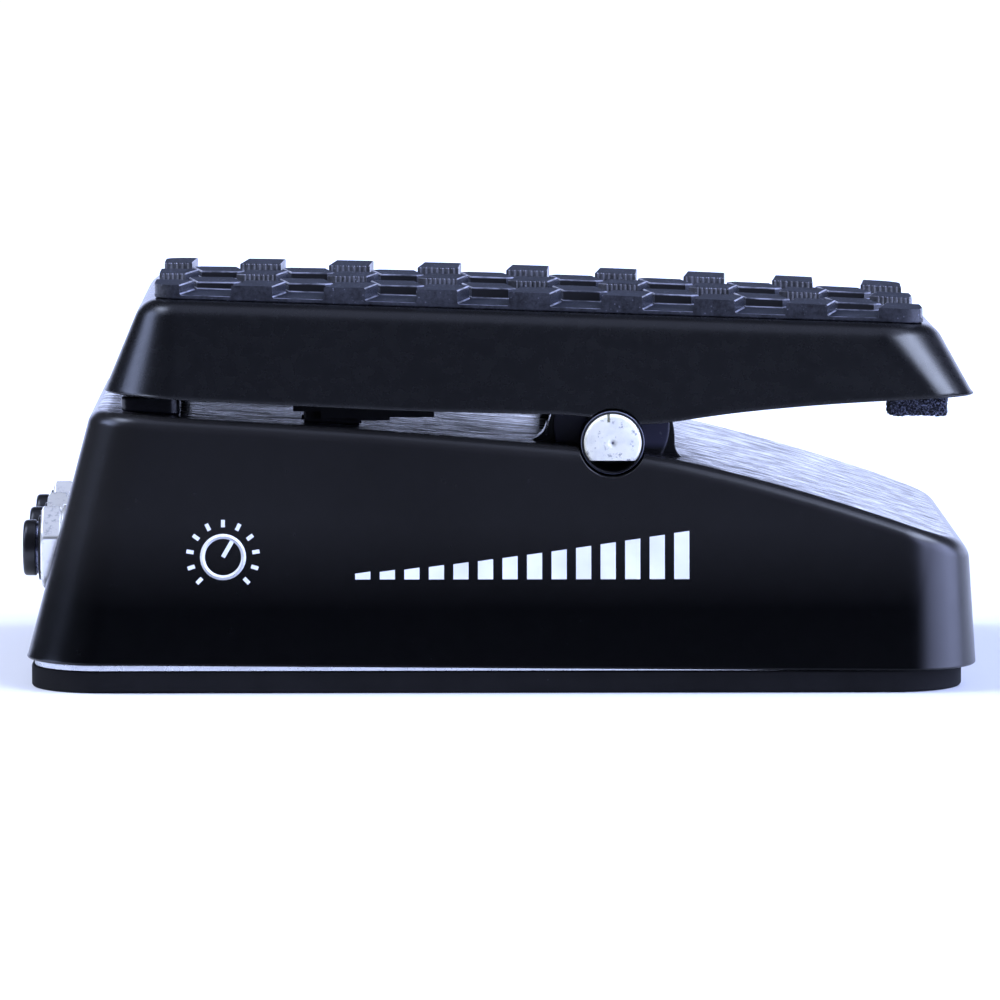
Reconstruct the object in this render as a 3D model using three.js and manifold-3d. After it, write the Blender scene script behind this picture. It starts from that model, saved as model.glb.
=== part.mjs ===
// Volume pedal: a rocking treadle on a cast base, driving a potentiometer through a thin steel band.
// Units are millimetres. X runs along the pedal, toe (jack end) at -X, heel at +X.
// Y runs across it, near side at -Y. Z is up, and the pedal stands on Z = 0.
// The treadle is drawn at rest, toe down.
import * as THREE from 'three';
import { mergeVertices } from 'three/addons/utils/BufferGeometryUtils.js';
import Module from 'manifold-3d';

const wasm = await Module();
wasm.setup();

// ---------------------------------------------------------------- driving dimensions
// Throughout, a pair [low, high] named x, y or z is the span a piece covers on that axis.
const SIDES = [['near', -1], ['far', 1]];
const PIVOT = { x: 18.35, z: 41.18 };  // axis of the treadle shaft
const NOTCH_RADIUS = 5.6;              // round the shaft ends, in base and treadle
const CORNER_STEPS = 6;                // facets per corner of both castings
const FILLET_STEPS = 3;

// side-view height of the base's top: x, z
const BASE_TOP = [
  [-84, 47.15], [-64.7, 45.96], [-49.84, 45.03], [-33.32, 44.02], [-16.8, 42.88], [-0.25, 41.49],
  [9.6, 40.65], [18.35, 39.8], [26, 38.8], [32.86, 37.41], [42.81, 34.95], [52.76, 32.16],
  [62.73, 29.04], [70.7, 26.33], [76.8, 24.25], [84, 21.8],
];
// side-view height of the treadle's lower edge: x, z
const TREADLE_RIM = [
  [-75, 49.2], [-66.5, 48.95], [-61.32, 48.72], [-49.77, 48.07], [-34.93, 47.35], [-16.78, 46.5],
  [-0.27, 46.05], [10, 45.8], [14.5, 45.4], [18.35, 44.75], [22.86, 44.28], [26, 44.36],
  [29.47, 44.75], [32.77, 45.22], [39.38, 46.05], [49.29, 46.96], [59.21, 47.62], [72.43, 48.25],
  [76.39, 48.4], [90, 48.6],
];
const baseTop = curve(BASE_TOP);
const treadleRim = curve(TREADLE_RIM);
const baseRim = (x) => 4.78 - 0.0078 * (Math.max(-70, Math.min(70, x)) + 70);
const treadleTop = (x) => 62.3 - 0.0338 * x;

// Plan outlines: toe and heel are end positions in x, half is the half width.
// The walls are drafted, so each outline depends on height.
const baseOutline = (z) => ({
  toe: -80.2 + 0.262 * z,
  heel: 79.4 - 0.065 * z,
  half: 49.97 - 0.104 * z,
  radius: 12.8 - 0.06 * z,
});
function treadleOutline(z, x) {
  const depth = treadleTop(x) - z;
  return {
    toe: -59.66 - 0.41 * depth,
    heel: 72.4 + 0.562 * depth,
    half: 37 + 0.466 * depth,
    radius: 6 + 0.4 * depth,
    heelRadius: 10 - 0.25 * depth,
  };
}

const SHAFT = { radius: 4.7625, end: 45.3, flat: 2.9 };  // flat: its distance below the centre
const SHAFT_SCREW = {
  y: 24.5,
  hole: 1.7,
  head: [2.9, [36.0, 38.22], 20],      // screw parts: radius, z span, facets
  shank: [1.5, [38.1, 53.2], 16],
};
const BUMPER = { x: [-63.1, -53.3], y: [31, 38.5], middle: -58.2, top: 48.35, chamfer: 0.3 };
const FOAM = { x: [64.4, 74.4], y: [28.5, 38.0], z: [44.75, 48.15] };
const BRACKET_SCREWS = [['toe', -41.3], ['heel', -31.7]];
const BRACKET_SCREW = { y: -1.5, head: [2.7, [36.9, 38.8], 18], shank: [1.15, [38.7, 42.3], 14] };
const JACK = { z: 21.4, pitch: 21.4, barrel: 4.72, inner: -69.6, face: -72.6, clearance: 4.95 };

// drive: angles are degrees above the toe-ward horizontal through the pivot
const SECTOR = { y: [-31, -25], inner: 42, outer: 51, top: 16.5, low: -40 };
const BAND = { thickness: 0.3, y: [-30, -26], middle: -28 };
const DRUM = { angle: -12.3, radius: 4.2, gap: 0.3 };
const DRUM_DISTANCE = SECTOR.outer + BAND.thickness + DRUM.gap + DRUM.radius + BAND.thickness;
const [DRUM_X, DRUM_Z] = polar(DRUM_DISTANCE, DRUM.angle);

// ---------------------------------------------------------------- solids
function rad(degrees) {
  return degrees * Math.PI / 180;
}
function polar(radius, angle) {
  return [PIVOT.x - radius * Math.cos(rad(angle)), PIVOT.z + radius * Math.sin(rad(angle))];
}
const around = (centre, half) => [centre - half, centre + half];
// a y span given for the far side, mirrored when side is -1
const onSide = (side, from, to) => (side < 0 ? [-to, -from] : [from, to]);

function solid(source) {
  const bare = source.clone();
  bare.deleteAttribute('normal');
  bare.deleteAttribute('uv');
  if (bare.index === null) bare.setIndex([...Array(bare.attributes.position.count).keys()]);
  const merged = mergeVertices(bare, 1e-4);
  return new wasm.Manifold(new wasm.Mesh({
    numProp: 3,
    vertProperties: new Float32Array(merged.attributes.position.array),
    triVerts: new Uint32Array(merged.index.array),
  }));
}
function solidFrom(vertices, faces) {
  const geometry = new THREE.BufferGeometry();
  geometry.setAttribute('position', new THREE.Float32BufferAttribute(vertices, 3));
  geometry.setIndex(faces);
  return solid(geometry);
}
function toGeometry(manifold) {
  const mesh = manifold.getMesh();
  const geometry = new THREE.BufferGeometry();
  const positions = new THREE.BufferAttribute(new Float32Array(mesh.vertProperties), 3);
  geometry.setAttribute('position', positions);
  geometry.setIndex(new THREE.BufferAttribute(new Uint32Array(mesh.triVerts), 1));
  return geometry;
}
const join = (...solids) => solids.reduce((sum, next) => sum.add(next));
const cut = (body, ...tools) => tools.reduce((rest, tool) => rest.subtract(tool), body);

function box([x0, x1], [y0, y1], [z0, z1]) {
  return solid(new THREE.BoxGeometry(x1 - x0, y1 - y0, z1 - z0)
    .translate((x0 + x1) / 2, (y0 + y1) / 2, (z0 + z1) / 2));
}
// cylinders along each axis; lowRadius, where given, is the radius at the low end
function cylinderX(y, z, radius, [x0, x1], lowRadius = radius) {
  return solid(new THREE.CylinderGeometry(lowRadius, radius, x1 - x0, 24)
    .rotateZ(Math.PI / 2).translate((x0 + x1) / 2, y, z));
}
function cylinderY(x, z, radius, [y0, y1], segments = 48) {
  return solid(new THREE.CylinderGeometry(radius, radius, y1 - y0, segments)
    .translate(x, (y0 + y1) / 2, z));
}
function cylinderZ(x, y, radius, [z0, z1], segments = 14, lowRadius = radius) {
  return solid(new THREE.CylinderGeometry(radius, lowRadius, z1 - z0, segments)
    .rotateX(Math.PI / 2).translate(x, y, (z0 + z1) / 2));
}
// cylinder pointing at the pivot axis, on the band's middle line
function radialCylinder(from, to, angle, radius) {
  const [x, z] = polar((from + to) / 2, angle);
  return solid(new THREE.CylinderGeometry(radius, radius, to - from, 14)
    .rotateZ(Math.PI / 2).rotateY(rad(angle)).translate(x, BAND.middle, z));
}
const screw = (x, y, { head, shank }) => join(cylinderZ(x, y, ...head), cylinderZ(x, y, ...shank));

function extrude(points, depth) {
  const shape = new THREE.Shape(points.map(([x, y]) => new THREE.Vector2(x, y)));
  return new THREE.ExtrudeGeometry(shape, { depth, bevelEnabled: false, steps: 1 });
}
// [x, z] profile extruded over a y span
function prismY(points, [y0, y1]) {
  return solid(extrude(points, y1 - y0).rotateX(Math.PI / 2).translate(0, y1, 0));
}
function arcPoints(centreX, centreY, radius, from, to, steps) {
  return Array.from({ length: steps + 1 }, (_, k) => {
    const angle = rad(from + (to - from) * k / steps);
    return [centreX + radius * Math.cos(angle), centreY + radius * Math.sin(angle)];
  });
}
const hexagon = (x, y, radius, turn = 0) => arcPoints(x, y, radius, turn, turn + 300, 5);
// curved strip about the pivot
function arcBand(inner, outer, low, high, steps) {
  return [
    ...arcPoints(PIVOT.x, PIVOT.z, outer, 180 - low, 180 - high, steps),
    ...arcPoints(PIVOT.x, PIVOT.z, inner, 180 - high, 180 - low, steps),
  ];
}

// smooth curve through points (x ascending), Catmull-Rom slopes
function curve(points) {
  const last = points.length - 1;
  const slopes = points.map((_, i) => {
    const before = points[Math.max(0, i - 1)];
    const after = points[Math.min(last, i + 1)];
    return (after[1] - before[1]) / (after[0] - before[0]);
  });
  return (x) => {
    if (x <= points[0][0]) return points[0][1];
    if (x >= points[last][0]) return points[last][1];
    let i = 0;
    while (x > points[i + 1][0]) i++;
    const width = points[i + 1][0] - points[i][0];
    const t = (x - points[i][0]) / width;
    return (2 * t ** 3 - 3 * t ** 2 + 1) * points[i][1]
      + (t ** 3 - 2 * t ** 2 + t) * width * slopes[i]
      + (-2 * t ** 3 + 3 * t ** 2) * points[i + 1][1]
      + (t ** 3 - t ** 2) * width * slopes[i + 1];
  };
}

// ---------------------------------------------------------------- lofted outlines
// stations of half a rounded rectangle, from the toe end round to the heel end on the near side
function makeStations(arcSteps, fractions = []) {
  const corner = (end, start) => Array.from({ length: arcSteps + 1 }, (_, k) => (
    { end, angle: Math.PI * (start + 0.5 * k / arcSteps) }));
  return [...corner('toe', 1), ...fractions.map((along) => ({ along })), ...corner('heel', 1.5)];
}
const fractionsOf = (xs, from, to) => xs.map((x) => (x - from) / (to - from));

// point and outward normal of an outline at a station
function pointAt({ end, angle, along }, { toe, heel, half, radius, heelRadius = radius }) {
  if (!end) {
    const x = toe + radius + (heel - toe - radius - heelRadius) * along;
    return { x, y: -half, normalX: 0, normalY: -1 };
  }
  const corner = end === 'toe' ? radius : heelRadius;
  const centreX = end === 'toe' ? toe + corner : heel - corner;
  const normalX = Math.cos(angle);
  const normalY = Math.sin(angle);
  return {
    x: centreX + corner * normalX,
    y: -half + corner + corner * normalY,
    normalX,
    normalY,
  };
}
// where a drafted wall meets a height that itself varies with x, found by iteration
function settle(station, outlineAt, heightAt) {
  let point = pointAt(station, outlineAt(heightAt(0), 0));
  for (let i = 0; i < 8; i++) {
    point = pointAt(station, outlineAt(heightAt(point.x), point.x));
  }
  return point;
}
function inset({ toe, heel, half, radius, heelRadius = radius }, distance) {
  return {
    toe: toe + distance,
    heel: heel - distance,
    half: half - distance,
    radius: Math.max(radius - distance, 1),
    heelRadius: Math.max(heelRadius - distance, 1),
  };
}
// rings: arrays of near-half points [x, y, z]; the far half is the mirror image
function loft(rings) {
  const half = rings[0].length;
  const count = 2 * half;
  const vertices = [];
  const faces = [];
  for (const ring of rings) {
    for (const point of ring) vertices.push(...point);
    for (const [x, y, z] of [...ring].reverse()) vertices.push(x, -y, z);
  }
  for (let k = 0; k + 1 < rings.length; k++) {
    for (let i = 0; i < count; i++) {
      const a = k * count + i;
      const b = k * count + (i + 1) % count;
      faces.push(a, b, b + count, a, b + count, a + count);
    }
  }
  const top = (rings.length - 1) * count;
  for (let i = 0; i + 1 < half; i++) {
    const [a, b, c, d] = [i, i + 1, count - 2 - i, count - 1 - i];
    faces.push(top + a, top + b, top + c, top + a, top + c, top + d);
    faces.push(a, c, b, a, d, c);
  }
  return solidFrom(vertices, faces);
}
// outer body: straight drafted walls from a lower edge curve up to a filleted top surface
function casting(stations, outlineAt, top, low, radius) {
  const bottom = [];
  const rings = Array.from({ length: FILLET_STEPS + 1 }, () => []);
  for (const station of stations) {
    const foot = settle(station, outlineAt, low);
    bottom.push([foot.x, foot.y, low(foot.x)]);
    const edge = settle(station, outlineAt, top);
    const { normalX, normalY } = edge;
    const below = pointAt(station, outlineAt(top(edge.x) - 1, edge.x));
    const draft = Math.atan((below.x - edge.x) * normalX + (below.y - edge.y) * normalY);
    const setback = radius * Math.tan((Math.PI / 2 - draft) / 2);
    rings.forEach((ring, k) => {
      const angle = draft + (Math.PI / 2 - draft) * k / FILLET_STEPS;
      const inward = setback - radius * Math.cos(angle);
      const x = edge.x - normalX * inward;
      ring.push([x, edge.y - normalY * inward, top(x) - radius * (1 - Math.sin(angle))]);
    });
  }
  return loft([bottom, ...rings]);
}
function cavity(stations, outlineAt, top, low, wall, topThickness) {
  const inner = (z, x) => inset(outlineAt(z, x), wall);
  const ring = (heightAt) => stations.map((station) => {
    const { x, y } = settle(station, inner, heightAt);
    return [x, y, heightAt(x)];
  });
  return loft([ring(low), ring((x) => top(x) - topThickness)]);
}
function roundedPlate(outline, zs, arcSteps) {
  const points = makeStations(arcSteps).map((station) => pointAt(station, outline));
  return loft(zs.map((z) => points.map(({ x, y }) => [x, y, z])));
}

// ---------------------------------------------------------------- materials
const MATERIALS = {
  housing: { color: 0x121318, roughness: 0.42, metalness: 0.25 },
  treadle: { color: 0x0f1014, roughness: 0.42, metalness: 0.25 },
  rubber: { color: 0x2a2c33, roughness: 0.75, metalness: 0 },
  pad: { color: 0x1d1f25, roughness: 0.9, metalness: 0 },
  steel: { color: 0xd8dbe2, roughness: 0.25, metalness: 0.95 },
  chrome: { color: 0xe6e9ee, roughness: 0.12, metalness: 1 },
  plastic: { color: 0x0c0c0e, roughness: 0.4, metalness: 0 },
  foam: { color: 0x24262e, roughness: 1, metalness: 0 },
  board: { color: 0x1d5a34, roughness: 0.5, metalness: 0 },
  alu: { color: 0xb9bcc2, roughness: 0.35, metalness: 0.9 },
  brass: { color: 0xc9a24a, roughness: 0.3, metalness: 0.95 },
  nylon: { color: 0x111114, roughness: 0.5, metalness: 0 },
  wire: { color: 0x8e1f1f, roughness: 0.5, metalness: 0 },
};
const group = new THREE.Group();
function addPart(name, manifold, material) {
  const finish = new THREE.MeshStandardMaterial(MATERIALS[material]);
  const mesh = new THREE.Mesh(toGeometry(manifold), finish);
  mesh.name = name;
  group.add(mesh);
}

// ---------------------------------------------------------------- base housing
const BASE = { wall: 3.0, edgeRadius: 2.75, rebateInset: 1.05 };
const PLATE = { z: [3.7, 4.7], inset: 1.35, outline: baseOutline(4.6) };
const REBATE_TOP = PLATE.z[1] + 0.05;
const PLATE_SCREWS = [  // name, x, y
  ['toe_near', -62.5, -39.6], ['toe_far', -62.5, 39.6],
  ['heel_near', 66.5, -38], ['heel_far', 66.5, 38],
];
const EAR = {
  x: [7.6, 28.9], y: [32, 36.2], face: 37.6, bore: 5.3, foot: 3.2, boss: 9.65, bossRise: 2.2,
};
const JACK_YS = [-JACK.pitch, 0, JACK.pitch];

// web of an ear: round top and filleted feet
function earProfile() {
  const [left, right] = EAR.x;
  const { foot } = EAR;
  const leftZ = baseTop(left - foot) - 0.15;
  const rightZ = baseTop(right + foot) - 0.35;
  return [
    [left - 6, 37.6],
    ...arcPoints(left - foot, leftZ + foot, foot, -90, 0, 5),
    ...arcPoints((left + right) / 2, PIVOT.z, (right - left) / 2, 180, 0, 12),
    ...arcPoints(right + foot, rightZ + foot, foot, 180, 270, 5),
    [right + 6, 33.5],
  ];
}
function baseShell() {
  const sideXs = BASE_TOP.slice(2, 13).map(([x]) => x);
  const stations = makeStations(CORNER_STEPS, fractionsOf(sideXs, -67, 66.5));
  const outer = casting(stations, baseOutline, baseTop, baseRim, BASE.edgeRadius);
  const hollow = cavity(stations, baseOutline, baseTop, () => -2, BASE.wall, BASE.wall);
  // thicker jack panel inside the toe wall
  const inner = cut(hollow, box([-90, JACK.inner], [-36, 36], [10.5, 34]));
  // rebate that takes the bottom plate
  const rebate = roundedPlate(inset(PLATE.outline, BASE.rebateInset), [-3, REBATE_TOP], 6);
  let base = cut(outer, inner, rebate);
  for (const [, x, y] of PLATE_SCREWS) {
    const boss = cylinderZ(x, y, 4.2, [REBATE_TOP, baseTop(x) - 1.5], 24);
    base = base.add(boss.intersect(outer));
  }
  for (const [, x, y] of PLATE_SCREWS) base = cut(base, cylinderZ(x, y, 1.5, [0, 14.5], 16));
  return base;
}
function baseHousing() {
  let base = baseShell();
  // ears that carry the bushings, each with a round boss on its outer face
  for (const [, side] of SIDES) {
    const bossY = onSide(side, EAR.y[1] - 0.5, EAR.face);
    base = base.add(prismY(earProfile(), onSide(side, ...EAR.y)));
    base = base.add(cylinderY(PIVOT.x, PIVOT.z + EAR.bossRise, EAR.boss, bossY));
  }
  // shaft window, bushing bores and notches
  base = cut(base, box([10.8, 25.9], [-31.3, 31.3], [30, 50]));
  for (const [, side] of SIDES) {
    const boreY = onSide(side, EAR.y[0] - 1, EAR.face + 1);
    base = cut(base, cylinderY(PIVOT.x, PIVOT.z, EAR.bore, boreY));
    base = cut(base, cylinderY(PIVOT.x, PIVOT.z, NOTCH_RADIUS, onSide(side, EAR.face, 60)));
  }
  // slot for the drive sector, wider below
  const slotY = [-33, -23];
  base = cut(base, box([-33.3, -23.2], slotY, [40.7, 50]), box([-35.4, -21.6], slotY, [34, 40.8]));
  // jack panel: vertical recess, open towards the sloping wall above it
  base = cut(base, box([-95, JACK.face], [-33, 33], [13.2, 40]));
  for (const y of JACK_YS) base = cut(base, cylinderX(y, JACK.z, JACK.clearance, [-90, -60]));
  // potentiometer bracket bosses under the top wall
  for (const [, x] of BRACKET_SCREWS) {
    base = base.add(cylinderZ(x, BRACKET_SCREW.y, 3.2, [40.5, baseTop(x) - 1.2], 20));
  }
  for (const [, x] of BRACKET_SCREWS) {
    base = cut(base, cylinderZ(x, BRACKET_SCREW.y, 1.35, [38, 42.6]));
  }
  return base;
}
addPart('base_housing', baseHousing(), 'housing');

// ---------------------------------------------------------------- bottom plate, pad, screws
const PAD = { outline: { toe: -78.2, heel: 76.8, half: 48.3, radius: 12 }, top: 3.65 };
const PLATE_SCREW = { head: 2.95, face: 2.4, shank: 1.3, slotHalf: 1.7, slotHalfWidth: 0.35 };

function drilledPlate(outline, z, holeRadius, holeZ, holeSegments) {
  const holes = PLATE_SCREWS.map(([, x, y]) => cylinderZ(x, y, holeRadius, holeZ, holeSegments));
  return cut(roundedPlate(outline, z, 8), ...holes);
}
// screw with a cross slot in its downward face
function plateScrew(x, y) {
  const { head, face, shank, slotHalf, slotHalfWidth } = PLATE_SCREW;
  const slotZ = [1, 2.7];
  const body = join(
    cylinderZ(x, y, head, [1.9, 2.6], 20, face),
    cylinderZ(x, y, head, [2.59, 3.65], 20),
    cylinderZ(x, y, shank, [3.6, 13.5]),
  );
  return cut(
    body,
    box(around(x, slotHalf), around(y, slotHalfWidth), slotZ),
    box(around(x, slotHalfWidth), around(y, slotHalf), slotZ),
  );
}
const plateOutline = inset(PLATE.outline, PLATE.inset);
addPart('bottom_plate', drilledPlate(plateOutline, PLATE.z, 1.75, [2, 6], 16), 'steel');
addPart('bottom_rubber_pad', drilledPlate(PAD.outline, [0, PAD.top], 4.6, [-1, 6], 20), 'pad');
for (const [name, x, y] of PLATE_SCREWS) addPart('plate_screw_' + name, plateScrew(x, y), 'steel');

// ---------------------------------------------------------------- bushings, bumpers
const BUSHING = { inner: 4.85, outer: 5.25, y: [31.6, 44.8] };

function bushing(side) {
  const [y0, y1] = onSide(side, ...BUSHING.y);
  return cut(
    cylinderY(PIVOT.x, PIVOT.z, BUSHING.outer, [y0, y1]),
    cylinderY(PIVOT.x, PIVOT.z, BUSHING.inner, [y0 - 1, y1 + 1]),
  );
}
// block following the base's top, its upper edges chamfered
function toeBumper(side) {
  const { x: [x0, x1], middle, top, chamfer } = BUMPER;
  const profile = [
    ...[x0, middle, x1].map((x) => [x, baseTop(x) + 0.03]),
    [x1, top - chamfer], [x1 - 0.4, top], [x0 + 0.4, top], [x0, top - chamfer],
  ];
  return prismY(profile, onSide(side, ...BUMPER.y));
}
for (const [name, side] of SIDES) addPart('pivot_bushing_' + name, bushing(side), 'nylon');
for (const [name, side] of SIDES) addPart('toe_bumper_' + name, toeBumper(side), 'rubber');

// ---------------------------------------------------------------- jacks and board
const JACKS = [['input', 40.5], ['output', 32], ['tuner', 40]];  // name, angle the nut stopped at
const JACK_BODY = { x: [-68.8, -47], halfWidth: 7.5, halfHeight: 8, bore: 3.3, boreEnd: -50 };
const NUT = { corner: 7.33, x: -77.15, depth: 3.5 };
// nut's turned envelope: radius, x span
const NUT_STEPS = [[7.0, [-77.15, -76.7]], [7.4, [-76.7, -74.1]], [7.0, [-74.1, -73.65]]];
// underside of the tip spring: x, height above the jack axis
const SPRING = [[-61.5, 5.7], [-58, 5.7], [-54.2, 2.75], [-52.8, 2.75], [-50.9, 4.6]];
const SPRING_SIZE = { thickness: 0.4, halfWidth: 1.4 };

function jack(y) {
  const { z, barrel } = JACK;
  const { x, halfWidth, halfHeight, bore, boreEnd } = JACK_BODY;
  const body = join(
    box(x, around(y, halfWidth), around(z, halfHeight)),
    cylinderX(y, z, barrel, [-79.8, -68.4]),
    cylinderX(y, z, barrel, [-80.2, -79.8], barrel - 0.4),
  );
  const groove = cut(cylinderX(y, z, 6, [-78.05, -77.62]), cylinderX(y, z, 4.35, [-79, -77]));
  const collar = cylinderX(y, z, 5.45, [-77.62, -77.2]);
  return cut(
    join(cut(body, groove), collar),
    cylinderX(y, z, bore, [-90, boreEnd]),
    box([-62, -50.2], around(y, 1.9), [z, z + 6.4]),
  );
}
const jackClearance = (y) => cylinderX(y, JACK.z, JACK.clearance, [-80, -70]);
function jackNut(y, turn) {
  // local (x, y, depth) becomes (y, z, x)
  const axes = new THREE.Matrix4().makeBasis(
    new THREE.Vector3(0, 1, 0),
    new THREE.Vector3(0, 0, 1),
    new THREE.Vector3(1, 0, 0),
  );
  const blank = solid(extrude(hexagon(y, JACK.z, NUT.corner, turn), NUT.depth)
    .applyMatrix4(axes).translate(NUT.x, 0, 0));
  const turned = join(...NUT_STEPS.map(([radius, x]) => cylinderX(y, JACK.z, radius, x)));
  return cut(blank.intersect(turned), jackClearance(y));
}
function tipSpring(y) {
  const lower = SPRING.map(([x, height]) => [x, JACK.z + height]);
  const upper = lower.map(([x, z]) => [x, z + SPRING_SIZE.thickness]).reverse();
  return prismY([...lower, ...upper], around(y, SPRING_SIZE.halfWidth));
}
JACKS.forEach(([name, turn], i) => {
  const y = JACK_YS[i];
  const washer = cut(cylinderX(y, JACK.z, 7.3, [-73.55, -72.7]), jackClearance(y));
  addPart(name + '_jack', jack(y), 'plastic');
  addPart(name + '_jack_nut', jackNut(y, turn), 'chrome');
  addPart(name + '_jack_washer', washer, 'chrome');
  addPart(name + '_jack_tip_spring', tipSpring(y), 'brass');
});
addPart('circuit_board', box([-68.3, -45.7], [-30, 30], [30.8, 32.4]), 'board');

// ---------------------------------------------------------------- potentiometer
const POT = { radius: 8, y: [-15.4, -6], shaft: 3, bush: 3.5 };
const BRACKET = { x: [-44.2, -28.8], plateY: [-17.6, -16.1], z: [20.5, 40.35], flangeZ: 38.85 };
const CABLE_RADIUS = 1.1;
const CABLE_Y = -10.7;
// cable centre line: x, z
const CABLE = [
  [-36.4, 20.7], [-36.8, 17.9], [-40.5, 15.4], [-44.6, 18.4], [-46.6, 24.5], [-46.8, 30.3],
];
const onDrumAxis = (radius, y, segments) => cylinderY(DRUM_X, DRUM_Z, radius, y, segments);
const bushClearance = () => onDrumAxis(POT.bush + 0.2, [-25, -10], 24);

function potCase() {
  const [y0, y1] = POT.y;
  const body = join(onDrumAxis(POT.radius, POT.y, 32), onDrumAxis(POT.bush, [y0 - 7, y0 + 0.5], 24));
  return cut(body, onDrumAxis(POT.shaft + 0.15, [y0 - 10, y1 - 1.6]));
}
function potBracket() {
  const { x, plateY, z, flangeZ } = BRACKET;
  const angle = join(box(x, plateY, z), box(x, [plateY[0], 2.0], [flangeZ, z[1]]));
  const holes = BRACKET_SCREWS.map(([, holeX]) => (
    cylinderZ(holeX, BRACKET_SCREW.y, 1.75, [30, 45], 16)));
  return cut(angle, bushClearance(), ...holes);
}
function potCable() {
  const path = CABLE.map(([x, z]) => new THREE.Vector3(x, CABLE_Y, z));
  const section = new THREE.Shape();
  section.absarc(0, 0, CABLE_RADIUS, 0, Math.PI * 2, false);
  return solid(new THREE.ExtrudeGeometry(section, {
    extrudePath: new THREE.CatmullRomCurve3(path),
    steps: 16,
    curveSegments: 4,
    bevelEnabled: false,
  }));
}
const potWasher = cut(onDrumAxis(5.6, [-18.35, -17.65], 24), bushClearance());
const potNut = cut(prismY(hexagon(DRUM_X, DRUM_Z, 5.7), [-20.4, -18.4]), bushClearance());
addPart('potentiometer_case', potCase(), 'alu');
addPart('potentiometer_bracket', potBracket(), 'steel');
for (const [name, x] of BRACKET_SCREWS) {
  addPart('bracket_screw_' + name, screw(x, BRACKET_SCREW.y, BRACKET_SCREW), 'steel');
}
addPart('potentiometer_washer', potWasher, 'steel');
addPart('potentiometer_nut', potNut, 'steel');
addPart('potentiometer_cable', potCable(), 'wire');

// ---------------------------------------------------------------- treadle shell
const TREADLE = { wall: 2.9, topThickness: 2.6, edgeRadius: 4.5 };
const TREADLE_XS = [  // side stations
  -50, -40, -30, -20, -10, 0, 6, 10, 14.5, 18.35, 22.86, 26, 29.47, 32.77, 39.38, 45, 52, 60,
];
const SECTOR_SCREWS = [['toe', -21], ['heel', -14.2]];
const SECTOR_SCREW = { head: [2.75, [54.2, 56.35], 20], shank: [1.2, [56.2, 60.8], 14] };

function treadleShell() {
  const { wall, topThickness, edgeRadius } = TREADLE;
  const stations = makeStations(CORNER_STEPS, fractionsOf(TREADLE_XS, -55, 67));
  const cavityLow = (x) => treadleRim(x) - 4;
  const outer = casting(stations, treadleOutline, treadleTop, treadleRim, edgeRadius);
  const inner = cavity(stations, treadleOutline, treadleTop, cavityLow, wall, topThickness);
  let shell = cut(outer, inner);
  for (const [, side] of SIDES) {
    const bumperX = [BUMPER.x[0] + 0.3, BUMPER.x[1] - 0.3];
    const foamX = [FOAM.x[0] - 0.5, FOAM.x[1] + 0.6];
    const bumperLanding = box(bumperX, onSide(side, 30.5, 43), [48.65, 62]);
    const foamCarrier = box(foamX, onSide(side, 28, 42), [48.5, 60]);
    const shaftSaddle = box([12.6, 24.1], onSide(side, 20, 29), [42.0, 61]);
    shell = shell.add(bumperLanding.intersect(outer));
    shell = shell.add(foamCarrier.intersect(outer));
    shell = shell.add(shaftSaddle);
  }
  shell = shell.add(box([-35, -10.2], [-36, -20], [59, 61.8]));  // sector pad
  for (const [, side] of SIDES) {
    shell = cut(
      shell,
      cylinderY(PIVOT.x, PIVOT.z, NOTCH_RADIUS, onSide(side, 39, 60)),
      cylinderY(PIVOT.x, PIVOT.z, SHAFT.radius + 0.03, onSide(side, 19, 31)),
      cylinderZ(PIVOT.x, side * SHAFT_SCREW.y, SHAFT_SCREW.hole, [40, 54], 16),
    );
  }
  for (const [, x] of SECTOR_SCREWS) shell = cut(shell, cylinderZ(x, BAND.middle, 1.4, [55, 61.2]));
  return shell;
}
addPart('treadle_shell', treadleShell(), 'treadle');

// ---------------------------------------------------------------- tread rubber, staggered blocks
const RUBBER = { toe: -57.7, heel: 70.6, half: 33.3, radius: 3.5 };
const SHEET = { gap: 0.05, top: 0.85 };  // heights above the treadle
const BLOCK = {
  height: 2.35, crown: 0.75, halfLength: 3.4, skew: 0.9, firstX: -55.7, pitch: 15.4, rows: 9,
};

// the blocks' tops are crowned lengthwise
function blockTop(x) {
  const middle = (RUBBER.heel + RUBBER.toe) / 2;
  const halfLength = (RUBBER.heel - RUBBER.toe) / 2;
  return treadleTop(x) + BLOCK.height + BLOCK.crown * (1 - ((x - middle) / halfLength) ** 2);
}
function block(x, y, halfWidth, skew) {
  const { halfLength } = BLOCK;
  const corners = [
    [x - halfLength - skew, y - halfWidth], [x + halfLength - skew, y - halfWidth],
    [x + halfLength + skew, y + halfWidth], [x - halfLength + skew, y + halfWidth],
  ];
  const vertices = [
    ...corners.flatMap((corner) => [...corner, treadleTop(corner[0]) + SHEET.top - 0.4]),
    ...corners.flatMap((corner) => [...corner, blockTop(corner[0])]),
  ];
  const faces = [];
  for (let i = 0; i < 4; i++) {
    const j = (i + 1) % 4;
    faces.push(i, j, 4 + j, i, 4 + j, 4 + i);
  }
  for (let i = 1; i < 3; i++) faces.push(0, i + 1, i, 4, 4 + i, 4 + i + 1);
  return solidFrom(vertices, faces);
}
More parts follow.
